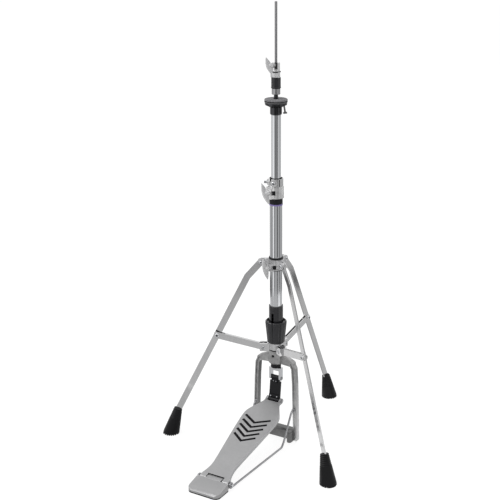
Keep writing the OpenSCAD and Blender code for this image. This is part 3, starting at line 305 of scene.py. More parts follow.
class StandSizes(bpy.types.PropertyGroup):
    """Sizes of the dressed pieces."""

    casting_round: length("Casting edges", "Rounding of the floor frame's edges", 0.0022)
    pedal_round: length("Footboard edges", "Rounding of the footboard's edges", 0.0013)
    heel_round: length("Heel edges", "Rounding of the heel plate's edges", 0.0026)
    clamp_round: length("Clamp edges", "Rounding of the clamps' edges", 0.0009)
    head_round: length("Head edges", "Rounding of the pins' and rivets' heads", 0.0011)
    sheet_round: length("Sheet edges", "Rounding of the legs' and stays' edges", 0.0006)
    plastic_round: length("Plastic edges", "Rounding of moulded edges", 0.0006)
    small_round: length("Small edges", "Rounding of pins and screws", 0.0004)
    rubber_round: length("Rubber edges", "Rounding of the rubber feet", 0.0005)
    knob_foot: length("Knob foot", "Radius of the tension knob at its foot", 0.0205)
    knob_bore: length("Knob bore", "Radius of the tension knob's bore", 0.01675)
    knob_recess: length("Knob recess", "Radius of the room for the spring seat's ears", 0.0185)
    knob_valley: length("Knob valleys", "Depth of the valleys between the tension knob's lobes", 0.0024)
    nut_corner: length("Nut corners", "Radius to which the clutch nut's six corners are turned", 0.01015)
    nut_rim: length("Nut rims", "Chamfer at the clutch nut's ends", 0.0007)
    felt_round: length("Felt edges", "Rounding of the felts' rims", 0.0018)
    felt_nap: length("Felt nap", "Unevenness of the felts' surface", 0.00022)
    felt_bore: length("Felt bore", "Radius of the hole in the felts", 0.0062)
    wing_seat: length("Clamp wing seat", "Distance from the axis to the clamp's wing", 0.023)
    collar_wing_seat: length("Collar wing seat", "Distance from the axis to the collar's wing", 0.026)
    clutch_wing_seat: length("Clutch wing seat", "Distance from the axis to the clutch's wing", 0.01105)
    wing_reach: length("Wing reach", "Reach of each clamp wing from its bolt's axis", 0.025)
    clutch_wing_reach: length("Clutch wing reach", "Reach of each clutch wing from its bolt's axis", 0.020)
    wing_w: length("Wing width", "Width of each wing at its bolt", 0.017)
    ring_bore: length("Ring bore", "Radius of the hole in the violet ring", 0.01435)
    ring_lap: length("Ring lap", "Height by which the violet ring laps over the black band", 0.0016)
    board_top: length("Board top", "Height of the footboard's top above its hinge line", 0.0079)
    groove_depth: length("Groove depth", "Depth of the anti-slip grooves", 0.0012)
    groove_w: length("Groove width", "Width of the anti-slip grooves", 0.0062)
    spring_wire: length("Spring wire", "Diameter of the return spring's wire", 0.0022)
    wire_d: length("Radius rod", "Diameter of the radius rods", 0.005)


class StandColours(bpy.types.PropertyGroup):
    """Colours of the finishes, in linear light."""

    chrome: colour("Chrome", "Bright plated tubes and pins", (0.72, 0.73, 0.75))
    satin_casting: colour("Satin casting", "Height clamp, memory lock and clutch", (0.65, 0.65, 0.655))
    matt_casting: colour("Matt casting", "Wings and the clutch's lock nut", (0.57, 0.57, 0.575))
    satin_steel: colour("Satin steel", "Legs, stays and spider", (0.66, 0.66, 0.665))
    pedal_alloy: colour("Pedal alloy", "Footboard, heel and tripod collar", (0.40, 0.40, 0.405))
    grey_casting: colour("Grey casting", "Hub and arms of the floor frame", (0.40, 0.40, 0.40))
    # A darker copy of the grey casting: painted shade on the base bar, the toes and the arms' inner faces, and the
    # tilter screw's own dark colour
    dark_casting: colour("Dark casting", "Base bar, toes and the arms' inner faces", (0.15, 0.15, 0.15))
    # Black plastic of bushes, bands and strap; it also paints the shade bands on the legs
    black_plastic: colour("Black plastic", "Bushes, bands and strap", (0.009, 0.009, 0.011))
    satin_black: colour("Satin black", "Tension knob and the two black sleeves", (0.018, 0.018, 0.021))
    gloss_black: colour("Gloss black", "Black plated cymbal seat", (0.07, 0.07, 0.075))
    rubber: colour("Rubber", "Feet and mat", (0.005, 0.005, 0.006))
    felt: colour("Upper felt", "Upper felt of the cymbal seat", (0.235, 0.232, 0.245))
    dark_felt: colour("Lower felt", "Lower felt of the cymbal seat", (0.105, 0.105, 0.11))
    violet_plastic: colour("Violet ring", "Ring below the height clamp", (0.24, 0.19, 0.45))
    dark_steel: colour("Dark steel", "Pull rod, radius rods and nuts", (0.36, 0.36, 0.37))
    # Near-black finish: the real chevron inlays and set screw, and painted shade in gaps, slots, seams, sockets,
    # on the back stay and on the spring
    grip: colour("Grip", "Inlays, washers, dark gaps and the return spring", (0.007, 0.007, 0.008))
    floor: colour("Floor", "Studio floor", (0.90, 0.90, 0.90))


def sizes():
    """The sizes as they are set in the scene."""
    return bpy.context.scene.stand_sizes


def colours():
    """The colours as they are set in the scene."""
    return bpy.context.scene.stand_colours


# Shader node groups that several finishes share

def new_group(name, inputs, outputs):
    """An empty shader node group; its inputs are set to numbers or vectors, its outputs are numbers."""
    group = bpy.data.node_groups.new(name, "ShaderNodeTree")
    for label, value in inputs.items():
        kind = "NodeSocketFloat" if isinstance(value, float) else "NodeSocketVector"
        group.interface.new_socket(label, in_out="INPUT", socket_type=kind).default_value = value
    for label in outputs:
        group.interface.new_socket(label, in_out="OUTPUT", socket_type="NodeSocketFloat")
    return group, group.nodes.new("NodeGroupInput"), group.nodes.new("NodeGroupOutput")


def feed(tree, socket, value):
    """Links a socket to another one, or sets it to a number."""
    if isinstance(value, bpy.types.NodeSocket):
        tree.links.new(value, socket)
    else:
        socket.default_value = value


def maths(tree, operation, a, b):
    """A maths node fed by sockets or numbers; returns its result socket."""
    node = tree.nodes.new("ShaderNodeMath")
    node.operation = operation
    feed(tree, node.inputs[0], a)
    feed(tree, node.inputs[1], b)
    return node.outputs[0]


def noise_at(tree, vector, scale, detail=3.0):
    """A noise texture's value along a vector."""
    node = tree.nodes.new("ShaderNodeTexNoise")
    node.inputs["Detail"].default_value = detail
    node.inputs["Roughness"].default_value = 0.6
    tree.links.new(vector, node.inputs["Vector"])
    feed(tree, node.inputs["Scale"], scale)
    return node.outputs["Fac"]


def span(tree, value, low, high):
    """Maps a noise value to the range from low to high."""
    node = tree.nodes.new("ShaderNodeMapRange")
    node.clamp = True
    tree.links.new(value, node.inputs["Value"])
    node.inputs["From Min"].default_value = NOISE_LOW
    node.inputs["From Max"].default_value = NOISE_HIGH
    feed(tree, node.inputs["To Min"], low)
    feed(tree, node.inputs["To Max"], high)
    return node.outputs["Result"]


def grain_group():
    """Fine surface grain with broad, faint patches: a height, a tone and a roughness."""
    group, inlet, outlet = new_group(
        "surface_grain",
        {"Grain Scale": 900.0, "Patch Scale": 22.0, "Smooth": 0.3, "Rough": 0.4, "Dark": 0.9, "Light": 1.0},
        ("Height", "Tone", "Roughness"),
    )
    place = group.nodes.new("ShaderNodeTexCoord").outputs["Object"]
    grain = noise_at(group, place, inlet.outputs["Grain Scale"], detail=2.0)
    patch = noise_at(group, place, inlet.outputs["Patch Scale"], detail=4.0)
    tone = span(group, patch, inlet.outputs["Dark"], inlet.outputs["Light"])
    roughness = span(group, patch, inlet.outputs["Smooth"], inlet.outputs["Rough"])
    group.links.new(grain, outlet.inputs["Height"])
    group.links.new(tone, outlet.inputs["Tone"])
    group.links.new(roughness, outlet.inputs["Roughness"])
    return group


def streak_group():
    """Long faint streaks along a direction, as left by drawing, rolling or casting."""
    group, inlet, outlet = new_group(
        "drawn_streaks", {"Stretch": (400.0, 400.0, 8.0), "Low": 0.0, "High": 1.0}, ("Value", "Height"))
    place = group.nodes.new("ShaderNodeTexCoord").outputs["Object"]
    stretch = group.nodes.new("ShaderNodeVectorMath")
    stretch.operation = "MULTIPLY"
    group.links.new(place, stretch.inputs[0])
    group.links.new(inlet.outputs["Stretch"], stretch.inputs[1])
    streak = noise_at(group, stretch.outputs["Vector"], scale=1.0)
    value = span(group, streak, inlet.outputs["Low"], inlet.outputs["High"])
    group.links.new(value, outlet.inputs["Value"])
    group.links.new(streak, outlet.inputs["Height"])
    return group


def wear_group():
    """A mask that is light on raised edges, where pointiness is above a half, and broken up by noise."""
    group, inlet, outlet = new_group("edge_wear", {"Width": 0.06, "Amount": 0.5}, ("Mask",))
    bend = group.nodes.new("ShaderNodeNewGeometry").outputs["Pointiness"]
    place = group.nodes.new("ShaderNodeTexCoord").outputs["Object"]
    raised = maths(group, "SUBTRACT", bend, 0.5)
    edge = maths(group, "DIVIDE", raised, inlet.outputs["Width"])
    broken = maths(group, "MULTIPLY", edge, noise_at(group, place, scale=160.0))
    mask = maths(group, "MULTIPLY", broken, inlet.outputs["Amount"])
    clamp = group.nodes.new("ShaderNodeClamp")
    group.links.new(mask, clamp.inputs["Value"])
    group.links.new(clamp.outputs["Result"], outlet.inputs["Mask"])
    return group


GROUP_MAKERS = {"surface_grain": grain_group, "drawn_streaks": streak_group, "edge_wear": wear_group}
GROUPS = {}


def place_group(tree, name, **values):
    """Places a shared node group with its own values, building it on first use."""
    if name not in GROUPS:
        GROUPS[name] = GROUP_MAKERS[name]()
    node = tree.nodes.new("ShaderNodeGroup")
    node.node_tree = GROUPS[name]
    for label, value in values.items():
        node.inputs[label.replace("_", " ")].default_value = value
    return node


# Finishes

def tinted(tree, base, tone):
    """The base colour times a tone that changes over the surface."""
    mix = tree.nodes.new("ShaderNodeMix")
    mix.data_type = "RGBA"
    mix.blend_type = "MULTIPLY"
    mix.inputs["Factor"].default_value = 1.0
    mix.inputs["A"].default_value = (*base, 1.0)
    tree.links.new(tone, mix.inputs["B"])
    return mix.outputs["Result"]


def lightened(tree, base, light, mask):
    """A colour that goes over to a lighter one where the mask says so."""
    mix = tree.nodes.new("ShaderNodeMix")
    mix.data_type = "RGBA"
    tree.links.new(mask, mix.inputs["Factor"])
    tree.links.new(base, mix.inputs["A"])
    mix.inputs["B"].default_value = (*light, 1.0)
    return mix.outputs["Result"]


def feed_shader(tree, shader, shade, roughness, height, bump, depth):
    """Feeds the shader a colour, a roughness and, as its normal, a height."""
    tree.links.new(shade, shader.inputs["Base Color"])
    tree.links.new(roughness, shader.inputs["Roughness"])
    node = tree.nodes.new("ShaderNodeBump")
    node.inputs["Strength"].default_value = bump
    node.inputs["Distance"].default_value = depth
    tree.links.new(height, node.inputs["Height"])
    tree.links.new(node.outputs["Normal"], shader.inputs["Normal"])


def new_finish(name):
    """A node material with its shader ready to be fed."""
    material = bpy.data.materials.new(name)
    material.use_nodes = True
    return material, material.node_tree, material.node_tree.nodes["Principled BSDF"]


def grained(name, grain, patch, smooth, rough, dark, bump, depth=0.0002, metallic=0.0, gloss=0.5, wear=0.0):
    """A finish with fine grain, faint patches and, on metal, lighter worn edges."""
    material, tree, shader = new_finish(name)
    node = place_group(
        tree, "surface_grain", Grain_Scale=grain, Patch_Scale=patch, Smooth=smooth, Rough=rough, Dark=dark)
    base = getattr(colours(), name)
    shade = tinted(tree, base, node.outputs["Tone"])
    if wear:
        mask = place_group(tree, "edge_wear", Amount=wear).outputs["Mask"]
        shade = lightened(tree, shade, [min(1.0, channel * WEAR_LIGHT) for channel in base], mask)
    feed_shader(tree, shader, shade, node.outputs["Roughness"], node.outputs["Height"], bump, depth)
    shader.inputs["Metallic"].default_value = metallic
    shader.inputs["Specular IOR Level"].default_value = gloss
    return material


def streaked(name, stretch, smooth, rough, dark, bump, depth=0.0001):
    """A metal finish with long faint streaks and patches of handling."""
    material, tree, shader = new_finish(name)
    streaks = place_group(tree, "drawn_streaks", Stretch=stretch, Low=dark, High=1.0)
    patches = place_group(tree, "surface_grain", Patch_Scale=14.0, Smooth=smooth, Rough=rough)
    shade = tinted(tree, getattr(colours(), name), streaks.outputs["Value"])
    feed_shader(tree, shader, shade, patches.outputs["Roughness"], streaks.outputs["Height"], bump, depth)
    shader.inputs["Metallic"].default_value = 1.0
    return material


def napped(name):
    """Pressed wool: matt, mottled, with short tangled fibres."""
    material, tree, shader = new_finish(name)
    fibres = place_group(
        tree, "surface_grain", Grain_Scale=2600.0, Patch_Scale=240.0, Dark=0.62, Smooth=0.92, Rough=1.0)
    tangle = place_group(tree, "drawn_streaks", Stretch=(700.0, 700.0, 1500.0))
    height = maths(tree, "ADD", fibres.outputs["Height"], tangle.outputs["Height"])
    shade = tinted(tree, getattr(colours(), name), fibres.outputs["Tone"])
    feed_shader(tree, shader, shade, fibres.outputs["Roughness"], height, bump=0.8, depth=0.0006)
    shader.inputs["Sheen Weight"].default_value = 0.25
    shader.inputs["Sheen Roughness"].default_value = 0.5
    return material


# Values of the finishes, by the names of their colours; the castings of the floor frame share theirs
CASTING = dict(
    grain=420.0, patch=70.0, smooth=0.3, rough=0.5, dark=0.55, bump=0.35, depth=0.0005, metallic=0.9,
    wear=0.8)
GRAINED = {
    "satin_casting": dict(
        grain=1500.0, patch=60.0, smooth=0.26, rough=0.36, dark=0.86, bump=0.06, metallic=0.95, wear=0.5),
    "matt_casting": dict(
        grain=1500.0, patch=60.0, smooth=0.42, rough=0.54, dark=0.88, bump=0.10, metallic=0.6, wear=0.4),
    "pedal_alloy": dict(
        grain=2200.0, patch=30.0, smooth=0.40, rough=0.52, dark=0.92, bump=0.12, metallic=0.6, wear=0.5),
    "grey_casting": CASTING,
    # Its darker copy paints the shade under the pedal and between the arms
    "dark_casting": CASTING,
    "black_plastic": dict(grain=2400.0, patch=40.0, smooth=0.34, rough=0.48, dark=0.8, bump=0.12, gloss=0.22),
    "satin_black": dict(grain=2400.0, patch=40.0, smooth=0.18, rough=0.28, dark=0.8, bump=0.06),
    "gloss_black": dict(
        grain=1200.0, patch=30.0, smooth=0.06, rough=0.11, dark=0.85, bump=0.02, depth=0.0001, metallic=1.0),
    "rubber": dict(
        grain=1300.0, patch=50.0, smooth=0.32, rough=0.46, dark=0.7, bump=0.15, depth=0.0003, gloss=0.18),
    "violet_plastic": dict(grain=1800.0, patch=40.0, smooth=0.35, rough=0.5, dark=0.85, bump=0.1, gloss=0.3),
    # The near-black finish of the inlays also paints shade in gaps, slots, seams and sockets
    "grip": dict(
        grain=1600.0, patch=80.0, smooth=0.6, rough=0.8, dark=0.75, bump=0.25, depth=0.0003, gloss=0.1),
}
STREAKED = {
    "chrome": dict(stretch=(60.0, 60.0, 4.0), smooth=0.05, rough=0.11, dark=0.95, bump=0.02),
    "satin_steel": dict(
        stretch=(120.0, 120.0, 10.0), smooth=0.09, rough=0.16, dark=0.92, bump=0.03, depth=0.0002),
    "dark_steel": dict(stretch=(300.0, 300.0, 12.0), smooth=0.16, rough=0.28, dark=0.8, bump=0.05),
}
FINISHES = {}


def make_finish(name):
    """Builds one finish by the name of its colour."""
    if name in GRAINED:
        return grained(name, **GRAINED[name])
    if name in STREAKED:
        return streaked(name, **STREAKED[name])
    return napped(name)


def finish(name):
    """A finish by its name, made on first use."""
    if name not in FINISHES:
        FINISHES[name] = make_finish(name)
    return FINISHES[name]


# Mesh making

def place_piece(mesh, body, finish_name):
    """Links a mesh into the scene as a piece of its name that rides on a body."""
    piece = bpy.data.objects.new(mesh.name, mesh)
    bpy.context.scene.collection.objects.link(piece)
    mesh.materials.append(finish(finish_name))
    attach(piece, body)
    return piece


def dress(*nodes):
    """Gives solids their finishes and shows them as they are."""
    for node in nodes:
        solid = NODES[node]
        solid.data.materials.clear()
        solid.data.materials.append(finish(SLOT_OF[node]))


def paint(piece, finish_name, inside):
    """Gives some of a piece's faces another finish; the test takes a face's centre and normal."""
    index = len(piece.data.materials)
    piece.data.materials.append(finish(finish_name))
    for face in piece.data.polygons:
        if inside(face.center, face.normal):
            face.material_index = index


def round_off(width, *nodes, segments=3, finish_name=None, marks=()):
    """Copies of solids with their hard edges rounded, shown in the solids' places."""
    for node in nodes:
        bm = bmesh.new()
        bm.from_mesh(NODES[node].data)
        bmesh.ops.remove_doubles(bm, verts=bm.verts, dist=WELD)
        bmesh.ops.dissolve_limit(bm, angle_limit=FLAT, verts=bm.verts, edges=bm.edges)
        mesh = bpy.data.meshes.new(f"{node}_rounded")
        bm.to_mesh(mesh)
        bm.free()
        mesh.shade_smooth()
        piece = place_piece(mesh, BODY_OF[node], finish_name or SLOT_OF[node])
        bevel = piece.modifiers.new("Rounding", "BEVEL")
        bevel.width = width
        bevel.segments = segments
        bevel.limit_method = "ANGLE"
        bevel.angle_limit = HARD_EDGE
        bevel.use_clamp_overlap = True
        weigh = piece.modifiers.new("Normals", "WEIGHTED_NORMAL")
        weigh.keep_sharp = True
        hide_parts(node)
        for mark, inside in marks:
            paint(piece, mark, inside)


def join_rings(bm, rings, closed=False, finish_index=0):
    """Faces between neighbouring rings of vertices, in one of the mesh's finishes."""
    count = len(rings[0])
    pairs = list(zip(rings, rings[1:]))
    if closed:
        pairs.append((rings[-1], rings[0]))
    for low, high in pairs:
        for k in range(count):
            face = bm.faces.new((low[k], low[(k + 1) % count], high[(k + 1) % count], high[k]))
            face.material_index = finish_index


def close_ends(bm, rings):
    """Faces over the first and the last ring."""
    bm.faces.new(list(reversed(rings[0])))
    bm.faces.new(rings[-1])


def loft(bm, sections, place, sides=24):
    """A closed skin through elliptic sections, each a centre and two half axes."""
    rings = []
    for centre, u, v in sections:
        ring = []
        for k in range(sides):
            turn = 2 * math.pi * k / sides
            point = Vector(centre) + math.cos(turn) * Vector(u) + math.sin(turn) * Vector(v)
            ring.append(bm.verts.new(place @ point))
        rings.append(ring)
    join_rings(bm, rings)
    close_ends(bm, rings)


def spoke(turn):
    """The level direction at a turn about Z."""
    return Vector((math.cos(turn), math.sin(turn), 0))


def rise(height):
    """A step along Z."""
    return Vector((0, 0, height))


def turn_about_z(bm, outline_at, sides, start=0.0):
    """A closed skin about Z; its outline of (radius, height) points may change with the turn."""
    rings = []
    for k in range(sides):
        turn = start + 2 * math.pi * k / sides
        rings.append([bm.verts.new(r * spoke(turn) + rise(z)) for r, z in outline_at(turn)])
    join_rings(bm, rings, closed=True)


def lathe(bm, outline, sides=ROUND_SIDES):
    """Turns a closed outline of (radius, height) points about Z; no point lies on the axis."""
    turn_about_z(bm, lambda turn: outline, sides)


def hexagon(flat, turn):
    """Radius at a turn of a hexagon, by half its width over flats."""
    return flat / math.cos(turn % (math.pi / 3) - math.pi / 6)


def tube(bm, path, radius, away, sides=16):
    """A round wire along a path that never runs along the direction away."""
    rings = []
    for i, point in enumerate(path):
        along = (path[min(i + 1, len(path) - 1)] - path[max(i - 1, 0)]).normalized()
        a = along.cross(away).normalized()
        b = along.cross(a)
        turns = [2 * math.pi * k / sides for k in range(sides)]
        rings.append([bm.verts.new(point + radius * (math.cos(t) * a + math.sin(t) * b)) for t in turns])
    join_rings(bm, rings)
    close_ends(bm, rings)


def finished_mesh(bm, name):
    """Turns a bmesh into a mesh with its faces pointing out, smooth but for its hard edges."""
    bmesh.ops.recalc_face_normals(bm, faces=bm.faces)
    mesh = bpy.data.meshes.new(name)
    bm.to_mesh(mesh)
    bm.free()
    mesh.shade_smooth()
    mesh.set_sharp_from_angle(angle=HARD_EDGE)
    return mesh


def stand_in(bm, node, ending, finish_name):
    """A piece made from a bmesh and shown in a solid's place."""
    piece = place_piece(finished_mesh(bm, f"{node}_{ending}"), BODY_OF[node], finish_name)
    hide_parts(node)
    return piece


def radius_of(node):
    """Half the width of a round solid."""
    low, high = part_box(node)
    return (high.x - low.x) / 2


def standing(centre, x, y, z):
    """A frame at a point, by its three axes."""
    return Matrix.Translation(centre) @ Matrix((x, y, z)).transposed().to_4x4()


def facing(point, normal):
    """A frame at a point whose Z axis is the given normal."""
    return Matrix.Translation(point) @ Vector(normal).to_track_quat("Z", "Y").to_matrix().to_4x4()


# Pieces

def turned(bm, outline, place):
    """A round form along X through (distance, radius) points in millimetres."""
    sections = [((x * MM, 0, 0), (0, r * MM, 0), (0, 0, r * MM)) for x, r in outline]
    loft(bm, sections, place)


def make_wing(node, seat, reach, tilt):
    """A wing bolt: shank, turned hub and two wings in the shape of one leaf."""
    joint = JOINTS[f"{node}_turn"]
    axis = Vector(joint["axis"])
    origin = Vector((axis.x * seat, axis.y * seat, joint["pos_m"][2]))
    face = Matrix.Rotation(math.atan2(axis.y, axis.x), 4, "Z") @ Matrix.Rotation(math.radians(tilt), 4, "X")
    place = Matrix.Translation(origin) @ face
    bm = bmesh.new()
    turned(bm, WING_SHANK, place)
    turned(bm, WING_HUB, place)
    half = sizes().wing_w / 2
    leaf = []
    for k in range(LEAF_STATIONS + 1):
        along = -math.cos(math.pi * k / LEAF_STATIONS)
        full = 1 - abs(along) ** LEAF_POWER
        wide = half * (LEAF_TIP + (1 - LEAF_TIP) * full)
        thick = LEAF_THIN + LEAF_SWELL * full ** SWELL_POWER
        leaf.append(((half + LEAF_CLEAR, 0, along * reach), (wide, 0, 0), (0, thick, 0)))
    loft(bm, leaf, place)
    stand_in(bm, node, "cast", "matt_casting")


def screw_head(bm, place, r, h, sides=24):
    """A domed head standing on z = 0; the hexagonal socket in its top has the mesh's second finish."""
    turns = [2 * math.pi * k / sides for k in range(sides)]
    flat = SOCKET_WIDTH * r * math.cos(math.pi / 6)

    def ring(radius_at, height):
        return [bm.verts.new(place @ (radius_at(t) * spoke(t) + rise(height))) for t in turns]

    rings = [ring(lambda t: r * wide, h * high) for wide, high in HEAD_DOME]
    socket = [ring(lambda t: hexagon(flat, t), height) for height in (h, h * SOCKET_FLOOR)]
    join_rings(bm, [*rings, socket[0]])
    join_rings(bm, socket, finish_index=1)
    bm.faces.new(rings[0])
    bm.faces.new(socket[1]).material_index = 1


def make_heads(name, body, spots, head):
    """Chrome screw or rivet heads at a list of points and normals, as one piece; their sockets are painted black
    as shade in the recess.
    """
    bm = bmesh.new()
    for point, normal in spots:
        screw_head(bm, facing(point, normal), *head)
    piece = place_piece(finished_mesh(bm, name), body, "chrome")
    # The sockets take the black finish as painted shade in their recess
    piece.data.materials.append(finish("grip"))


def across(point, out):
    """The two ends of a pin that lies across a leg's plane, as points and normals."""
    normal = Vector((-point.y, point.x, 0)).normalized()
    return [(point + side * out * normal, side * normal) for side in (1, -1)]


def rivet_point(side):
    """The point where a stay and its leg are riveted together."""
    pivot = Vector(JOINTS[f"stay_{side}_pivot"]["pos_m"])
    return Vector((pivot.x, pivot.y, 0)).normalized() * RIVET_R + rise(RIVET_Z)


def quarter(centre_r, centre_z, r, start, steps=5):
    """Points of a quarter circle, from a start angle clockwise, as (radius, height)."""
    turns = [math.radians(start - 90 * k / steps) for k in range(steps + 1)]
    return [(centre_r + r * math.cos(t), centre_z + r * math.sin(t)) for t in turns]


def make_felt(node, finish_name):
    """A felt washer: soft rounded rims and an uneven napped surface."""
    low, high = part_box(node)
    outer = radius_of(node)
    inner = sizes().felt_bore
    r = sizes().felt_round
    flat = [inner + (outer - r - inner) * k / FELT_RINGS for k in range(FELT_RINGS)]
    outline = [(x, high.z) for x in flat]
    outline += quarter(outer - r, high.z - r, r, 90)
    outline += quarter(outer - r, low.z + r, r, 0)
    outline += [(x, low.z) for x in reversed(flat)]
    bm = bmesh.new()
    lathe(bm, outline, FELT_SIDES)
    for vertex in bm.verts:
        out = Vector((vertex.co.x, vertex.co.y, 0))
        edge = (out.length - inner) / (outer - inner)
        nap = sizes().felt_nap * edge * (1 + noise.noise(vertex.co * NAP_SCALE)) * NAP_SHARE
        vertex.co -= out.normalized() * nap
    piece = stand_in(bm, node, "napped", finish_name)


def make_shade_ring(name, node, slot, inner, outer, half):
    """A thin black ring with a pointed rim on top of a solid, painting the shade in the seam there."""
    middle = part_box(node)[1].z
    top = middle + half
    bottom = middle - half
    rim = outer - SHADE_RING_POINT
    bm = bmesh.new()
    lathe(bm, [(inner, top), (rim, top), (outer, middle), (rim, bottom), (inner, bottom)])
    place_piece(finished_mesh(bm, name), BODY_OF[node], "grip")


def make_felt_shade_ring():
    """The thin black ring between the two felts, painting the shade in the groove between them."""
    outer = radius_of("lower_felt") - FELT_SHADE_INSET
    slot = SLOT_OF["lower_felt"]
    make_shade_ring("felt_washer", "lower_felt", slot, sizes().felt_bore, outer, FELT_SHADE_HALF)


def make_clutch_nut():
    """A six-sided nut with turned corners and chamfered ends."""
    low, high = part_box("clutch_nut")
    flat = (high.y - low.y) / 2
    rim = sizes().nut_rim

    def outline_at(turn):
        r = min(hexagon(flat, turn), sizes().nut_corner)
        return [
            (NUT_BORE, low.z), (r - rim, low.z), (r, low.z + rim),
            (r, high.z - rim), (r - rim, high.z), (NUT_BORE, high.z),
        ]

    bm = bmesh.new()
    turn_about_z(bm, outline_at, ROUND_SIDES)
    stand_in(bm, "clutch_nut", "turned", "dark_steel")


def make_tint_ring():
    """The violet ring that shows below the black band and laps over its lower rim."""
    low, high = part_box("tint_ring")
    inner = sizes().ring_bore
    skin = radius_of("clamp_bush") + LAP_PLAY
    outer = skin + LAP_SKIN
    top = high.z + sizes().ring_lap
    outline = [(inner, low.z), (inner, high.z), (skin, high.z), (skin, top), (outer, top)]
    outline += quarter(outer - LAP_ROUND, low.z + LAP_ROUND, LAP_ROUND, 0)
    bm = bmesh.new()
    lathe(bm, outline)
    stand_in(bm, "tint_ring", "lapped", "violet_plastic")


def board_matrix():
    """The footboard's own frame: across, along from the hinge, up from the hinge."""
    hinge = Vector(JOINTS["pedal"]["pos_m"])
    return Matrix.Translation(hinge) @ Matrix.Rotation(math.radians(BOARD_ANGLE), 4, "X")


def make_grips():
    """Dark inlays that fill the footboard's chevron grooves to just below its surface."""
    place = board_matrix() @ Matrix.Translation((-GROOVE_SHIFT, 0, 0))
    half = sizes().groove_w / 2 - GRIP_PLAY
    top = sizes().board_top - GRIP_SINK
    bottom = sizes().board_top - sizes().groove_depth
    bm = bmesh.new()
    for i in range(GROOVES):
        apex = GROOVE_START + i * GROOVE_PITCH
        reach = GROOVE_REACH + GROOVE_WIDEN * i
        side = Vector((-GROOVE_RISE, reach)).normalized() * half
        lift = half * math.hypot(GROOVE_RISE, reach) / reach
        right = Vector((reach, apex + GROOVE_RISE))
        outline = [
            (0, apex - lift), right - side, right + side, (0, apex + lift),
            (-right.x - side.x, right.y + side.y), (side.x - right.x, right.y - side.y),
        ]
        low = [bm.verts.new(place @ Vector((p[0], p[1], bottom))) for p in outline]
        high = [bm.verts.new(place @ Vector((p[0], p[1], top))) for p in outline]
        join_rings(bm, [low, high])
        for ring in (low, high):
            bm.faces.new((ring[0], ring[1], ring[2], ring[3]))
            bm.faces.new((ring[0], ring[3], ring[4], ring[5]))
    place_piece(finished_mesh(bm, "grip_chevrons"), "footboard", "grip")


def rounded_corner(a, b, c, r, steps=8):
    """Points of a corner rounded off by a smooth curve."""
    p = b + r * (a - b).normalized()
    q = b + r * (c - b).normalized()
    ts = [k / steps for k in range(steps + 1)]
    return [(1 - t) ** 2 * p + 2 * t * (1 - t) * b + t * t * q for t in ts]


def make_knob():
    """The tension knob: rounded lobes with sharp valleys between them, round the seat's two ears."""
    low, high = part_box("tension_knob")
    ears_low, ears_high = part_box("spring_seat")
    top = radius_of("tension_knob")
    foot = sizes().knob_foot
    bore = sizes().knob_bore
    recess = sizes().knob_recess
    floor = high.z - KNOB_LIP
    roof = ears_high.z + KNOB_ROOM
    ground = ears_low.z - KNOB_ROOM
    # Each point has its radius, its height and its share of the valleys' depth
    points = [
        (bore, low.z, 0.0), (foot - KNOB_RIM, low.z, 0.4), (foot, low.z + KNOB_RIM, 0.5), (top, floor, 1.0),
        (top - KNOB_BULGE, high.z - KNOB_RIM, 1.0), (top - KNOB_CROWN, high.z, 0.4),
        (top - KNOB_LIP, high.z, 0.0), (top - KNOB_DISH, floor, 0.0), (bore, floor, 0.0),
        (bore, roof, 0.0), (recess, roof, 0.0), (recess, ground, 0.0), (bore, ground, 0.0),
    ]
    start = math.radians(KNOB_VALLEY)
    lobe = 2 * math.pi / KNOB_LOBES

    def outline_at(turn):
        across_lobe = 2 * ((turn - start) / lobe % 1) - 1
        drop = sizes().knob_valley * abs(across_lobe) ** LOBE_POWER
        return [(r - drop * share, z) for r, z, share in points]

    bm = bmesh.new()
    turn_about_z(bm, outline_at, KNOB_LOBES * LOBE_STEPS, start)
    stand_in(bm, "tension_knob", "lobed", "satin_black")


def make_spring():
    """The return spring, a wound wire painted black for the shade inside the sleeve's slots, that closes up as the
    pull rod comes down.
    """
    low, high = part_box("return_spring")
    height = high.z - low.z
    r = sizes().spring_wire / 2
    coil = radius_of("return_spring") - r
    steps = SPRING_COILS * COIL_STEPS
    path = []
    for k in range(steps + 1):
        z = low.z + r + (height - 2 * r) * k / steps
        path.append(coil * spoke(2 * math.pi * k / COIL_STEPS) + rise(z))
    bm = bmesh.new()
    tube(bm, path, r, away=Vector((0, 0, 1)), sides=12)
    # The spring's black finish paints the shade inside the sleeve's slots
    piece = stand_in(bm, "return_spring", "wound", "grip")
    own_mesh(piece)


def make_radius_rods():
    """Two bent wires from the frame's arms to eyes round the heel hinge pin."""
    bm = bmesh.new()
    eye_x, eye_y, eye_z, eye_r = WIRE_EYE
    for side in (1, -1):
        route = [Vector((x * side, y, z)) * MM for x, y, z in WIRE_ROUTE]
        path = [route[0]]
        for a, b, c in zip(route, route[1:], route[2:]):
            path += rounded_corner(a, b, c, WIRE_BEND * MM)
        for turn in range(0, EYE_TURN + 1, EYE_STEP):
            t = math.radians(turn)
            path.append(Vector((eye_x * side, eye_y - eye_r * math.sin(t), eye_z - eye_r * math.cos(t))) * MM)
        tube(bm, path, sizes().wire_d / 2, away=Vector((1, 0, 0)))
        seat = facing(Vector((route[1].x, FERRULE_Y * MM, route[1].z)), (0, -1, 0))
        turned(bm, FERRULE, seat @ Matrix.Rotation(math.radians(-90), 4, "Y"))
    stand_in(bm, "radius_rods", "bent", "dark_steel")


def slab(bm, place, size, edge):
    """A plate with softened edges, by its frame and its three sizes; it is the first form in its mesh."""
    bmesh.ops.create_cube(bm, size=1.0, matrix=place @ Matrix.Diagonal((*size, 1)))
    bmesh.ops.bevel(bm, geom=bm.edges[:], offset=edge, segments=2, affect="EDGES", profile=0.5)


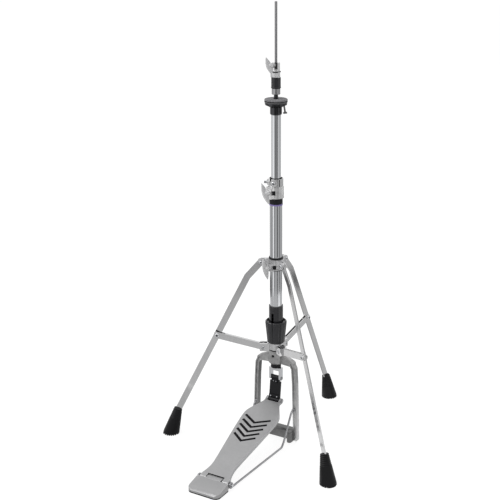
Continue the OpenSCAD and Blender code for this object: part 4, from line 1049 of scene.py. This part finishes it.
def make_leg_shade_bands():
    """A black band on one face of each leg, just above the stay that is riveted to it, painting the shade in the
    stay's open end.
    """
    slope = math.radians(LEG_SLOPE)
    for side in SIDES:
        rivet = rivet_point(side)
        out = Vector((rivet.x, rivet.y, 0)).normalized()
        along = rise(math.cos(slope)) - math.sin(slope) * out
        across_leg = rise(math.sin(slope)) + math.cos(slope) * out
        aside = across_leg.cross(along)
        centre = rivet + BAND_UP * along - BAND_IN * across_leg - BAND_SIDE * aside
        bm = bmesh.new()
        slab(bm, standing(centre, across_leg, along, aside), BAND_SIZE, BAND_EDGE)
        place_piece(finished_mesh(bm, f"leg_band_{side}"), f"leg_{side}", "black_plastic")


def make_stay_shade():
    """A black strip along the top of the back stay, between its two cheeks, that paints the shade inside the
    channel.
    """
    pivot = Vector(JOINTS["stay_back_pivot"]["pos_m"])
    whole = rivet_point("back") - pivot
    along = whole.normalized()
    level = Vector((-along.y, along.x, 0)).normalized()
    top = along.cross(level)
    reach = whole.length - GAP_START - GAP_END
    centre = pivot + (GAP_START + reach / 2) * along + GAP_UP * top
    bm = bmesh.new()
    slab(bm, standing(centre, along, level, top), (reach, GAP_WIDTH, GAP_DEPTH), GAP_EDGE)
    place_piece(finished_mesh(bm, "stay_gap"), "stay_back", "grip")


def make_strap_clamps():
    """The plates with two screws each that hold the strap's ends."""
    yoke = Vector(JOINTS["strap_swing"]["pos_m"])
    toe = Vector(TOE)
    level = Vector((1, 0, 0))
    along = (yoke - toe).normalized()
    front = level.cross(along)
    ends = (("strap_clamp", toe, along, CLAMP_PLATE), ("strap_buckle", yoke, -along, BUCKLE_PLATE))
    for name, end, inward, (distance, size, spread, head) in ends:
        centre = end + distance * inward + PLATE_FRONT * front
        bm = bmesh.new()
        slab(bm, standing(centre, level, front, along), size, PLATE_EDGE)
        for x in (-spread, spread):
            seat = centre + x * level + PLATE_SCREW_OUT * front
            screw_head(bm, facing(seat, front), head, PLATE_SCREW_H)
        piece = place_piece(finished_mesh(bm, name), "strap", "black_plastic")
        piece.data.materials.append(finish("chrome"))


# Tests for faces that get another finish: painted shade in gaps, slots and seams, and on the arms' inner faces

def in_shaded_heel_gap(centre, normal):
    """Walls of the heel plate beside its hinge, painted black as shade in the gap."""
    return centre.y > HEEL_GAP_Y and normal.z < TURNED_TO


def in_shaded_board_notch(centre, normal):
    """Walls of the notch that the footboard leaves for the heel's knuckle, painted black as shade."""
    place = board_matrix().inverted()
    at = place @ centre
    return at.y < NOTCH_Y and abs(at.x) < NOTCH_X and (place.to_3x3() @ normal).z < TURNED_TO


def in_shaded_lock_split(centre, normal):
    """Walls of the split in the memory lock, painted black as shade."""
    return LOCK_SPLIT[0] < centre.xy.length < LOCK_SPLIT[1] and abs(normal.z) < TURNED_TO


def in_shaded_clutch_slot(centre, normal):
    """Walls of the slot and the bore in the clutch's casting, painted black as shade."""
    return centre.xy.length < CLUTCH_SLOT and abs(normal.z) < TURNED_TO


def in_shaded_hub_seam(centre, normal):
    """The thin neck between the frame's hub and the spider, painted black as shade."""
    return SEAM_Z[0] < centre.z < SEAM_Z[1] and centre.xy.length < SEAM_R


def in_shaded_arch(centre, normal):
    """Faces of the frame's arms that look at each other, painted darker as shade."""
    inward = normal.x if centre.x < 0 else -normal.x
    return inward > TURNED_TO and abs(centre.x) > ARCH_X


# Stage

def plain_shader(tree, kind, tint, strength=None):
    """A shader of one colour, with a strength if it shines."""
    node = tree.nodes.new(kind)
    node.inputs["Color"].default_value = (*tint, 1.0)
    if strength is not None:
        node.inputs["Strength"].default_value = strength
    return node


def show_by_ray(tree, unseen, seen, surface):
    """Gives a surface one shader for camera, glossy and transmission rays, and another for the rest."""
    path = tree.nodes.new("ShaderNodeLightPath")
    either = maths(tree, "MAXIMUM", path.outputs["Is Camera Ray"], path.outputs["Is Glossy Ray"])
    mix = tree.nodes.new("ShaderNodeMixShader")
    tree.links.new(maths(tree, "MAXIMUM", either, path.outputs["Is Transmission Ray"]), mix.inputs[0])
    tree.links.new(unseen.outputs[0], mix.inputs[1])
    tree.links.new(seen.outputs[0], mix.inputs[2])
    tree.links.new(mix.outputs[0], surface)


def stage_piece(bm, name, material):
    """Links a bmesh into the scene as part of the studio."""
    mesh = bpy.data.meshes.new(name)
    bm.to_mesh(mesh)
    bm.free()
    mesh.materials.append(material)
    piece = bpy.data.objects.new(name, mesh)
    bpy.context.scene.collection.objects.link(piece)
    return piece


def bare_material(name):
    """A node material that holds only its output."""
    material = bpy.data.materials.new(name)
    material.use_nodes = True
    tree = material.node_tree
    tree.nodes.clear()
    return material, tree, tree.nodes.new("ShaderNodeOutputMaterial").inputs["Surface"]


def make_floor():
    """A pale floor that looks white and keeps a faint shadow."""
    material, tree, surface = bare_material("studio_floor")
    both = tree.nodes.new("ShaderNodeAddShader")
    shadow = plain_shader(tree, "ShaderNodeBsdfDiffuse", [FLOOR_SHADOW] * 3)
    glow = plain_shader(tree, "ShaderNodeEmission", WHITE, FLOOR_GLOW)
    tree.links.new(shadow.outputs[0], both.inputs[0])
    tree.links.new(glow.outputs[0], both.inputs[1])
    show_by_ray(tree, plain_shader(tree, "ShaderNodeBsdfDiffuse", colours().floor), both, surface)
    bm = bmesh.new()
    corners = ((-1, -1), (1, -1), (1, 1), (-1, 1))
    bm.faces.new([bm.verts.new((x * FLOOR_HALF, y * FLOOR_HALF, -FLOOR_DROP)) for x, y in corners])
    stage_piece(bm, "floor", material)


def make_mat(name, inner, outer, bearings, grey):
    """A grey sector between two arcs of (reach, height) that only mirroring surfaces see."""
    material, tree, surface = bare_material(name)
    tree.links.new(plain_shader(tree, "ShaderNodeEmission", [grey] * 3).outputs[0], surface)
    bm = bmesh.new()
    rows = []
    for bearing in range(bearings[0], bearings[1] + 1, MAT_FACET):
        out = spoke(math.radians(bearing))
        rows.append([bm.verts.new(reach * out + rise(height)) for reach, height in (inner, outer)])
    for a, b in zip(rows, rows[1:]):
        bm.faces.new((a[0], a[1], b[1], b[0]))
    mat = stage_piece(bm, name, material)
    mat.visible_camera = False
    mat.visible_diffuse = False
    mat.visible_shadow = False


def make_mats():
    """Grey mats on the floor and a card beside it, out of view, for the bright metal to mirror."""
    for ring, (near, far, mats) in enumerate(MATS):
        height = MAT_RISE * ring - MAT_DROP
        for start, end, grey in mats:
            make_mat(f"mat_{ring}_{start}", (near, height), (far, height), (start, end), grey)
    make_mat("card", (CARD_REACH, CARD_FOOT), (CARD_REACH, CARD_TOP), CARD_BEARINGS, CARD_GREY)


def make_world():
    """White behind the object, and an even light of plain strength."""
    world = bpy.data.worlds.new("studio")
    bpy.context.scene.world = world
    world.use_nodes = True
    tree = world.node_tree
    tree.nodes.clear()
    surface = tree.nodes.new("ShaderNodeOutputWorld").inputs["Surface"]
    light = plain_shader(tree, "ShaderNodeBackground", WHITE, STUDIO_LIGHT)
    show_by_ray(tree, light, plain_shader(tree, "ShaderNodeBackground", WHITE), surface)


def make_lamp(name, place, target, side, power):
    """A square soft lamp that faces a target."""
    data = bpy.data.lights.new(name, "AREA")
    data.shape = "SQUARE"
    data.size = side
    data.energy = power
    lamp = bpy.data.objects.new(name, data)
    bpy.context.scene.collection.objects.link(lamp)
    lamp.location = place
    lamp.rotation_euler = (Vector(target) - Vector(place)).to_track_quat("-Z", "Y").to_euler()
    return lamp


def make_lamps():
    """One large soft key from the upper left and a weaker fill from the right that metal doesn't mirror."""
    make_lamp("key", *KEY_LAMP)
    make_lamp("fill", *FILL_LAMP).visible_glossy = False


def make_camera():
    """The camera, placed as the photograph was taken."""
    data = bpy.data.cameras.new("camera")
    data.lens = CAMERA_LENS
    data.sensor_width = CAMERA_SENSOR
    data.shift_x = CAMERA_SHIFT
    camera = bpy.data.objects.new("camera", data)
    bpy.context.scene.collection.objects.link(camera)
    camera.location = CAMERA_PLACE
    camera.rotation_euler = (math.radians(90 - CAMERA_PITCH), 0, math.radians(CAMERA_TURN))
    bpy.context.scene.camera = camera


# Operators

class HIHAT_OT_stage(bpy.types.Operator):
    """Floor, light and the camera at the photograph's angle"""

    bl_idname = "hihat.stage"
    bl_label = "Stage"

    def execute(self, context):
        make_camera()
        make_floor()
        make_mats()
        make_world()
        make_lamps()
        context.scene.view_settings.view_transform = "Standard"
        return {"FINISHED"}


class HIHAT_OT_column(bpy.types.Operator):
    """Column tubes, bushes, height clamp and memory lock"""

    bl_idname = "hihat.column"
    bl_label = "Column"

    def execute(self, context):
        dress("lower_tube", "upper_tube", "tube_guide")
        round_off(sizes().plastic_round, "clamp_bush")
        make_tint_ring()
        round_off(sizes().clamp_round, "height_clamp")
        # The walls of the lock's split are painted black as shade
        round_off(sizes().small_round, "memory_lock", marks=[("grip", in_shaded_lock_split)])
        # A thin black ring paints the shade where the lock meets the upper tube
        make_shade_ring("lock_washer", "memory_lock", "rubber", *LOCK_SHADE_RING)
        round_off(sizes().small_round, "key_bolt")
        bearing, out, height = LOCK_SCREW
        normal = spoke(math.radians(bearing))
        make_heads("lock_screw", "upper_tube", [(out * normal + rise(height), normal)], LOCK_HEAD)
        make_wing("height_wing", sizes().wing_seat, sizes().wing_reach, WING_TILT)
        return {"FINISHED"}


class HIHAT_OT_tripod(bpy.types.Operator):
    """Collar, legs, rubber feet, stays and spider"""

    bl_idname = "hihat.tripod"
    bl_label = "Tripod"

    def execute(self, context):
        round_off(sizes().clamp_round, "tripod_collar", finish_name="pedal_alloy")
        round_off(sizes().clamp_round, "spider")
        round_off(sizes().plastic_round, "collar_bush")
        round_off(sizes().head_round, "leg_pins", "spider_bolts")
        make_wing("collar_wing", sizes().collar_wing_seat, sizes().wing_reach, COLLAR_WING_TILT)
        pins = []
        bolts = []
        for side in SIDES:
            round_off(sizes().sheet_round, f"leg_{side}", f"stay_{side}")
            round_off(sizes().rubber_round, f"foot_{side}")
            make_heads(f"rivets_{side}", f"stay_{side}", across(rivet_point(side), RIVET_OUT), RIVET_HEAD)
            pins += across(Vector(JOINTS[f"leg_{side}_pivot"]["pos_m"]), LEG_PIN_OUT)
            bolts += across(Vector(JOINTS[f"stay_{side}_pivot"]["pos_m"]), SPIDER_BOLT_OUT)
        # Black bands paint the shade where the stays' open ends meet the legs
        make_leg_shade_bands()
        # A black strip paints the shade inside the back stay's channel
        make_stay_shade()
        make_heads("leg_pin_heads", "collar", pins, PIN_HEAD)
        make_heads("spider_bolt_heads", "stand", bolts, PIN_HEAD)
        return {"FINISHED"}


class HIHAT_OT_floor_frame(bpy.types.Operator):
    """Hub and arms, base bar, cast toes, rod bush, set screw and radius rods"""

    bl_idname = "hihat.floor_frame"
    bl_label = "Floor frame"

    def execute(self, context):
        # Painted shade: a black seam below the spider and darker inner faces on the arms
        rough = [("grip", in_shaded_hub_seam), ("dark_casting", in_shaded_arch)]
        round_off(sizes().casting_round, "frame_casting", marks=rough)
        # The base bar and toes take the darker casting as painted shade under the pedal
        round_off(sizes().casting_round, "base_bar", "base_pads", finish_name="dark_casting")
        round_off(sizes().plastic_round, "rod_bush")
        round_off(sizes().small_round, "set_screw", finish_name="grip")
        make_radius_rods()
        return {"FINISHED"}


class HIHAT_OT_pedal(bpy.types.Operator):
    """Footboard with its grips, heel, hinge pin and toe pin"""

    bl_idname = "hihat.pedal"
    bl_label = "Pedal"

    def execute(self, context):
        # The walls of the footboard's notch and of the heel's hinge gap are painted black as shade
        round_off(sizes().pedal_round, "footboard", marks=[("grip", in_shaded_board_notch)])
        round_off(sizes().heel_round, "heel_plate", segments=4, marks=[("grip", in_shaded_heel_gap)])
        round_off(sizes().plastic_round, "heel_mat")
        round_off(sizes().small_round, "hinge_pin", "toe_pin")
        make_grips()
        return {"FINISHED"}


class HIHAT_OT_drive(bpy.types.Operator):
    """Strap, yoke, pull rods and the spring tension parts"""

    bl_idname = "hihat.drive"
    bl_label = "Drive"

    def execute(self, context):
        round_off(sizes().clamp_round, "yoke", "strap")
        make_strap_clamps()
        round_off(sizes().small_round, "yoke_pin")
        dress("lower_rod", "upper_rod", "rod_coupler", "spring_seat")
        make_spring()
        make_knob()
        round_off(sizes().plastic_round, "tension_sleeve", finish_name="satin_black")
        return {"FINISHED"}


class HIHAT_OT_seat(bpy.types.Operator):
    """Cymbal seat with its felts and tilter screw"""

    bl_idname = "hihat.seat"
    bl_label = "Cymbal seat"

    def execute(self, context):
        round_off(sizes().plastic_round, "seat_sleeve", "seat_neck", "seat_cup", "tilt_plate")
        make_felt("lower_felt", "dark_felt")
        make_felt("upper_felt", "felt")
        # A thin black ring paints the shade in the groove between the felts
        make_felt_shade_ring()
        round_off(sizes().small_round, "tilter_screw", finish_name="dark_casting")
        return {"FINISHED"}


class HIHAT_OT_clutch(bpy.types.Operator):
    """Clutch casting, sleeve, nuts and wing"""

    bl_idname = "hihat.clutch"
    bl_label = "Clutch"

    def execute(self, context):
        # The walls of the clutch's slot and bore are painted black as shade
        round_off(sizes().small_round, "clutch_body", marks=[("grip", in_shaded_clutch_slot)])
        round_off(sizes().clamp_round, "lock_nut", finish_name="matt_casting")
        make_clutch_nut()
        # A thin black ring paints the shade in the seam between the lock nut and the clutch
        make_shade_ring("clutch_washer", "lock_nut", "rubber", *CLUTCH_SHADE_RING)
        round_off(sizes().plastic_round, "clutch_sleeve", finish_name="satin_black")
        dress("clutch_tube")
        make_wing("clutch_wing", sizes().clutch_wing_seat, sizes().clutch_wing_reach, WING_TILT)
        return {"FINISHED"}


OPERATORS = (
    HIHAT_OT_stage, HIHAT_OT_column, HIHAT_OT_tripod, HIHAT_OT_floor_frame, HIHAT_OT_pedal, HIHAT_OT_drive,
    HIHAT_OT_seat, HIHAT_OT_clutch,
)


class HIHAT_PT_panel(bpy.types.Panel):
    """Lists the pieces of the hi-hat stand"""

    bl_idname = "HIHAT_PT_panel"
    bl_label = "Hi-hat stand"
    bl_space_type = "VIEW_3D"
    bl_region_type = "UI"
    bl_category = "Hi-hat stand"

    def draw(self, context):
        for operator in OPERATORS:
            self.layout.operator(operator.bl_idname)


CLASSES = (StandSizes, StandColours, *OPERATORS, HIHAT_PT_panel)


def register():
    """Registers the classes and gives the scene its sizes and colours."""
    for cls in CLASSES:
        bpy.utils.register_class(cls)
    bpy.types.Scene.stand_sizes = PointerProperty(type=StandSizes)
    bpy.types.Scene.stand_colours = PointerProperty(type=StandColours)


def unregister():
    """Takes the sizes, the colours and the classes away again."""
    del bpy.types.Scene.stand_colours
    del bpy.types.Scene.stand_sizes
    for cls in reversed(CLASSES):
        bpy.utils.unregister_class(cls)


def main():
    """Makes the stage and every piece."""
    register()
    bpy.ops.hihat.stage()
    bpy.ops.hihat.column()
    bpy.ops.hihat.tripod()
    bpy.ops.hihat.floor_frame()
    bpy.ops.hihat.pedal()
    bpy.ops.hihat.drive()
    bpy.ops.hihat.seat()
    bpy.ops.hihat.clutch()


if __name__ == "__main__":
    main()
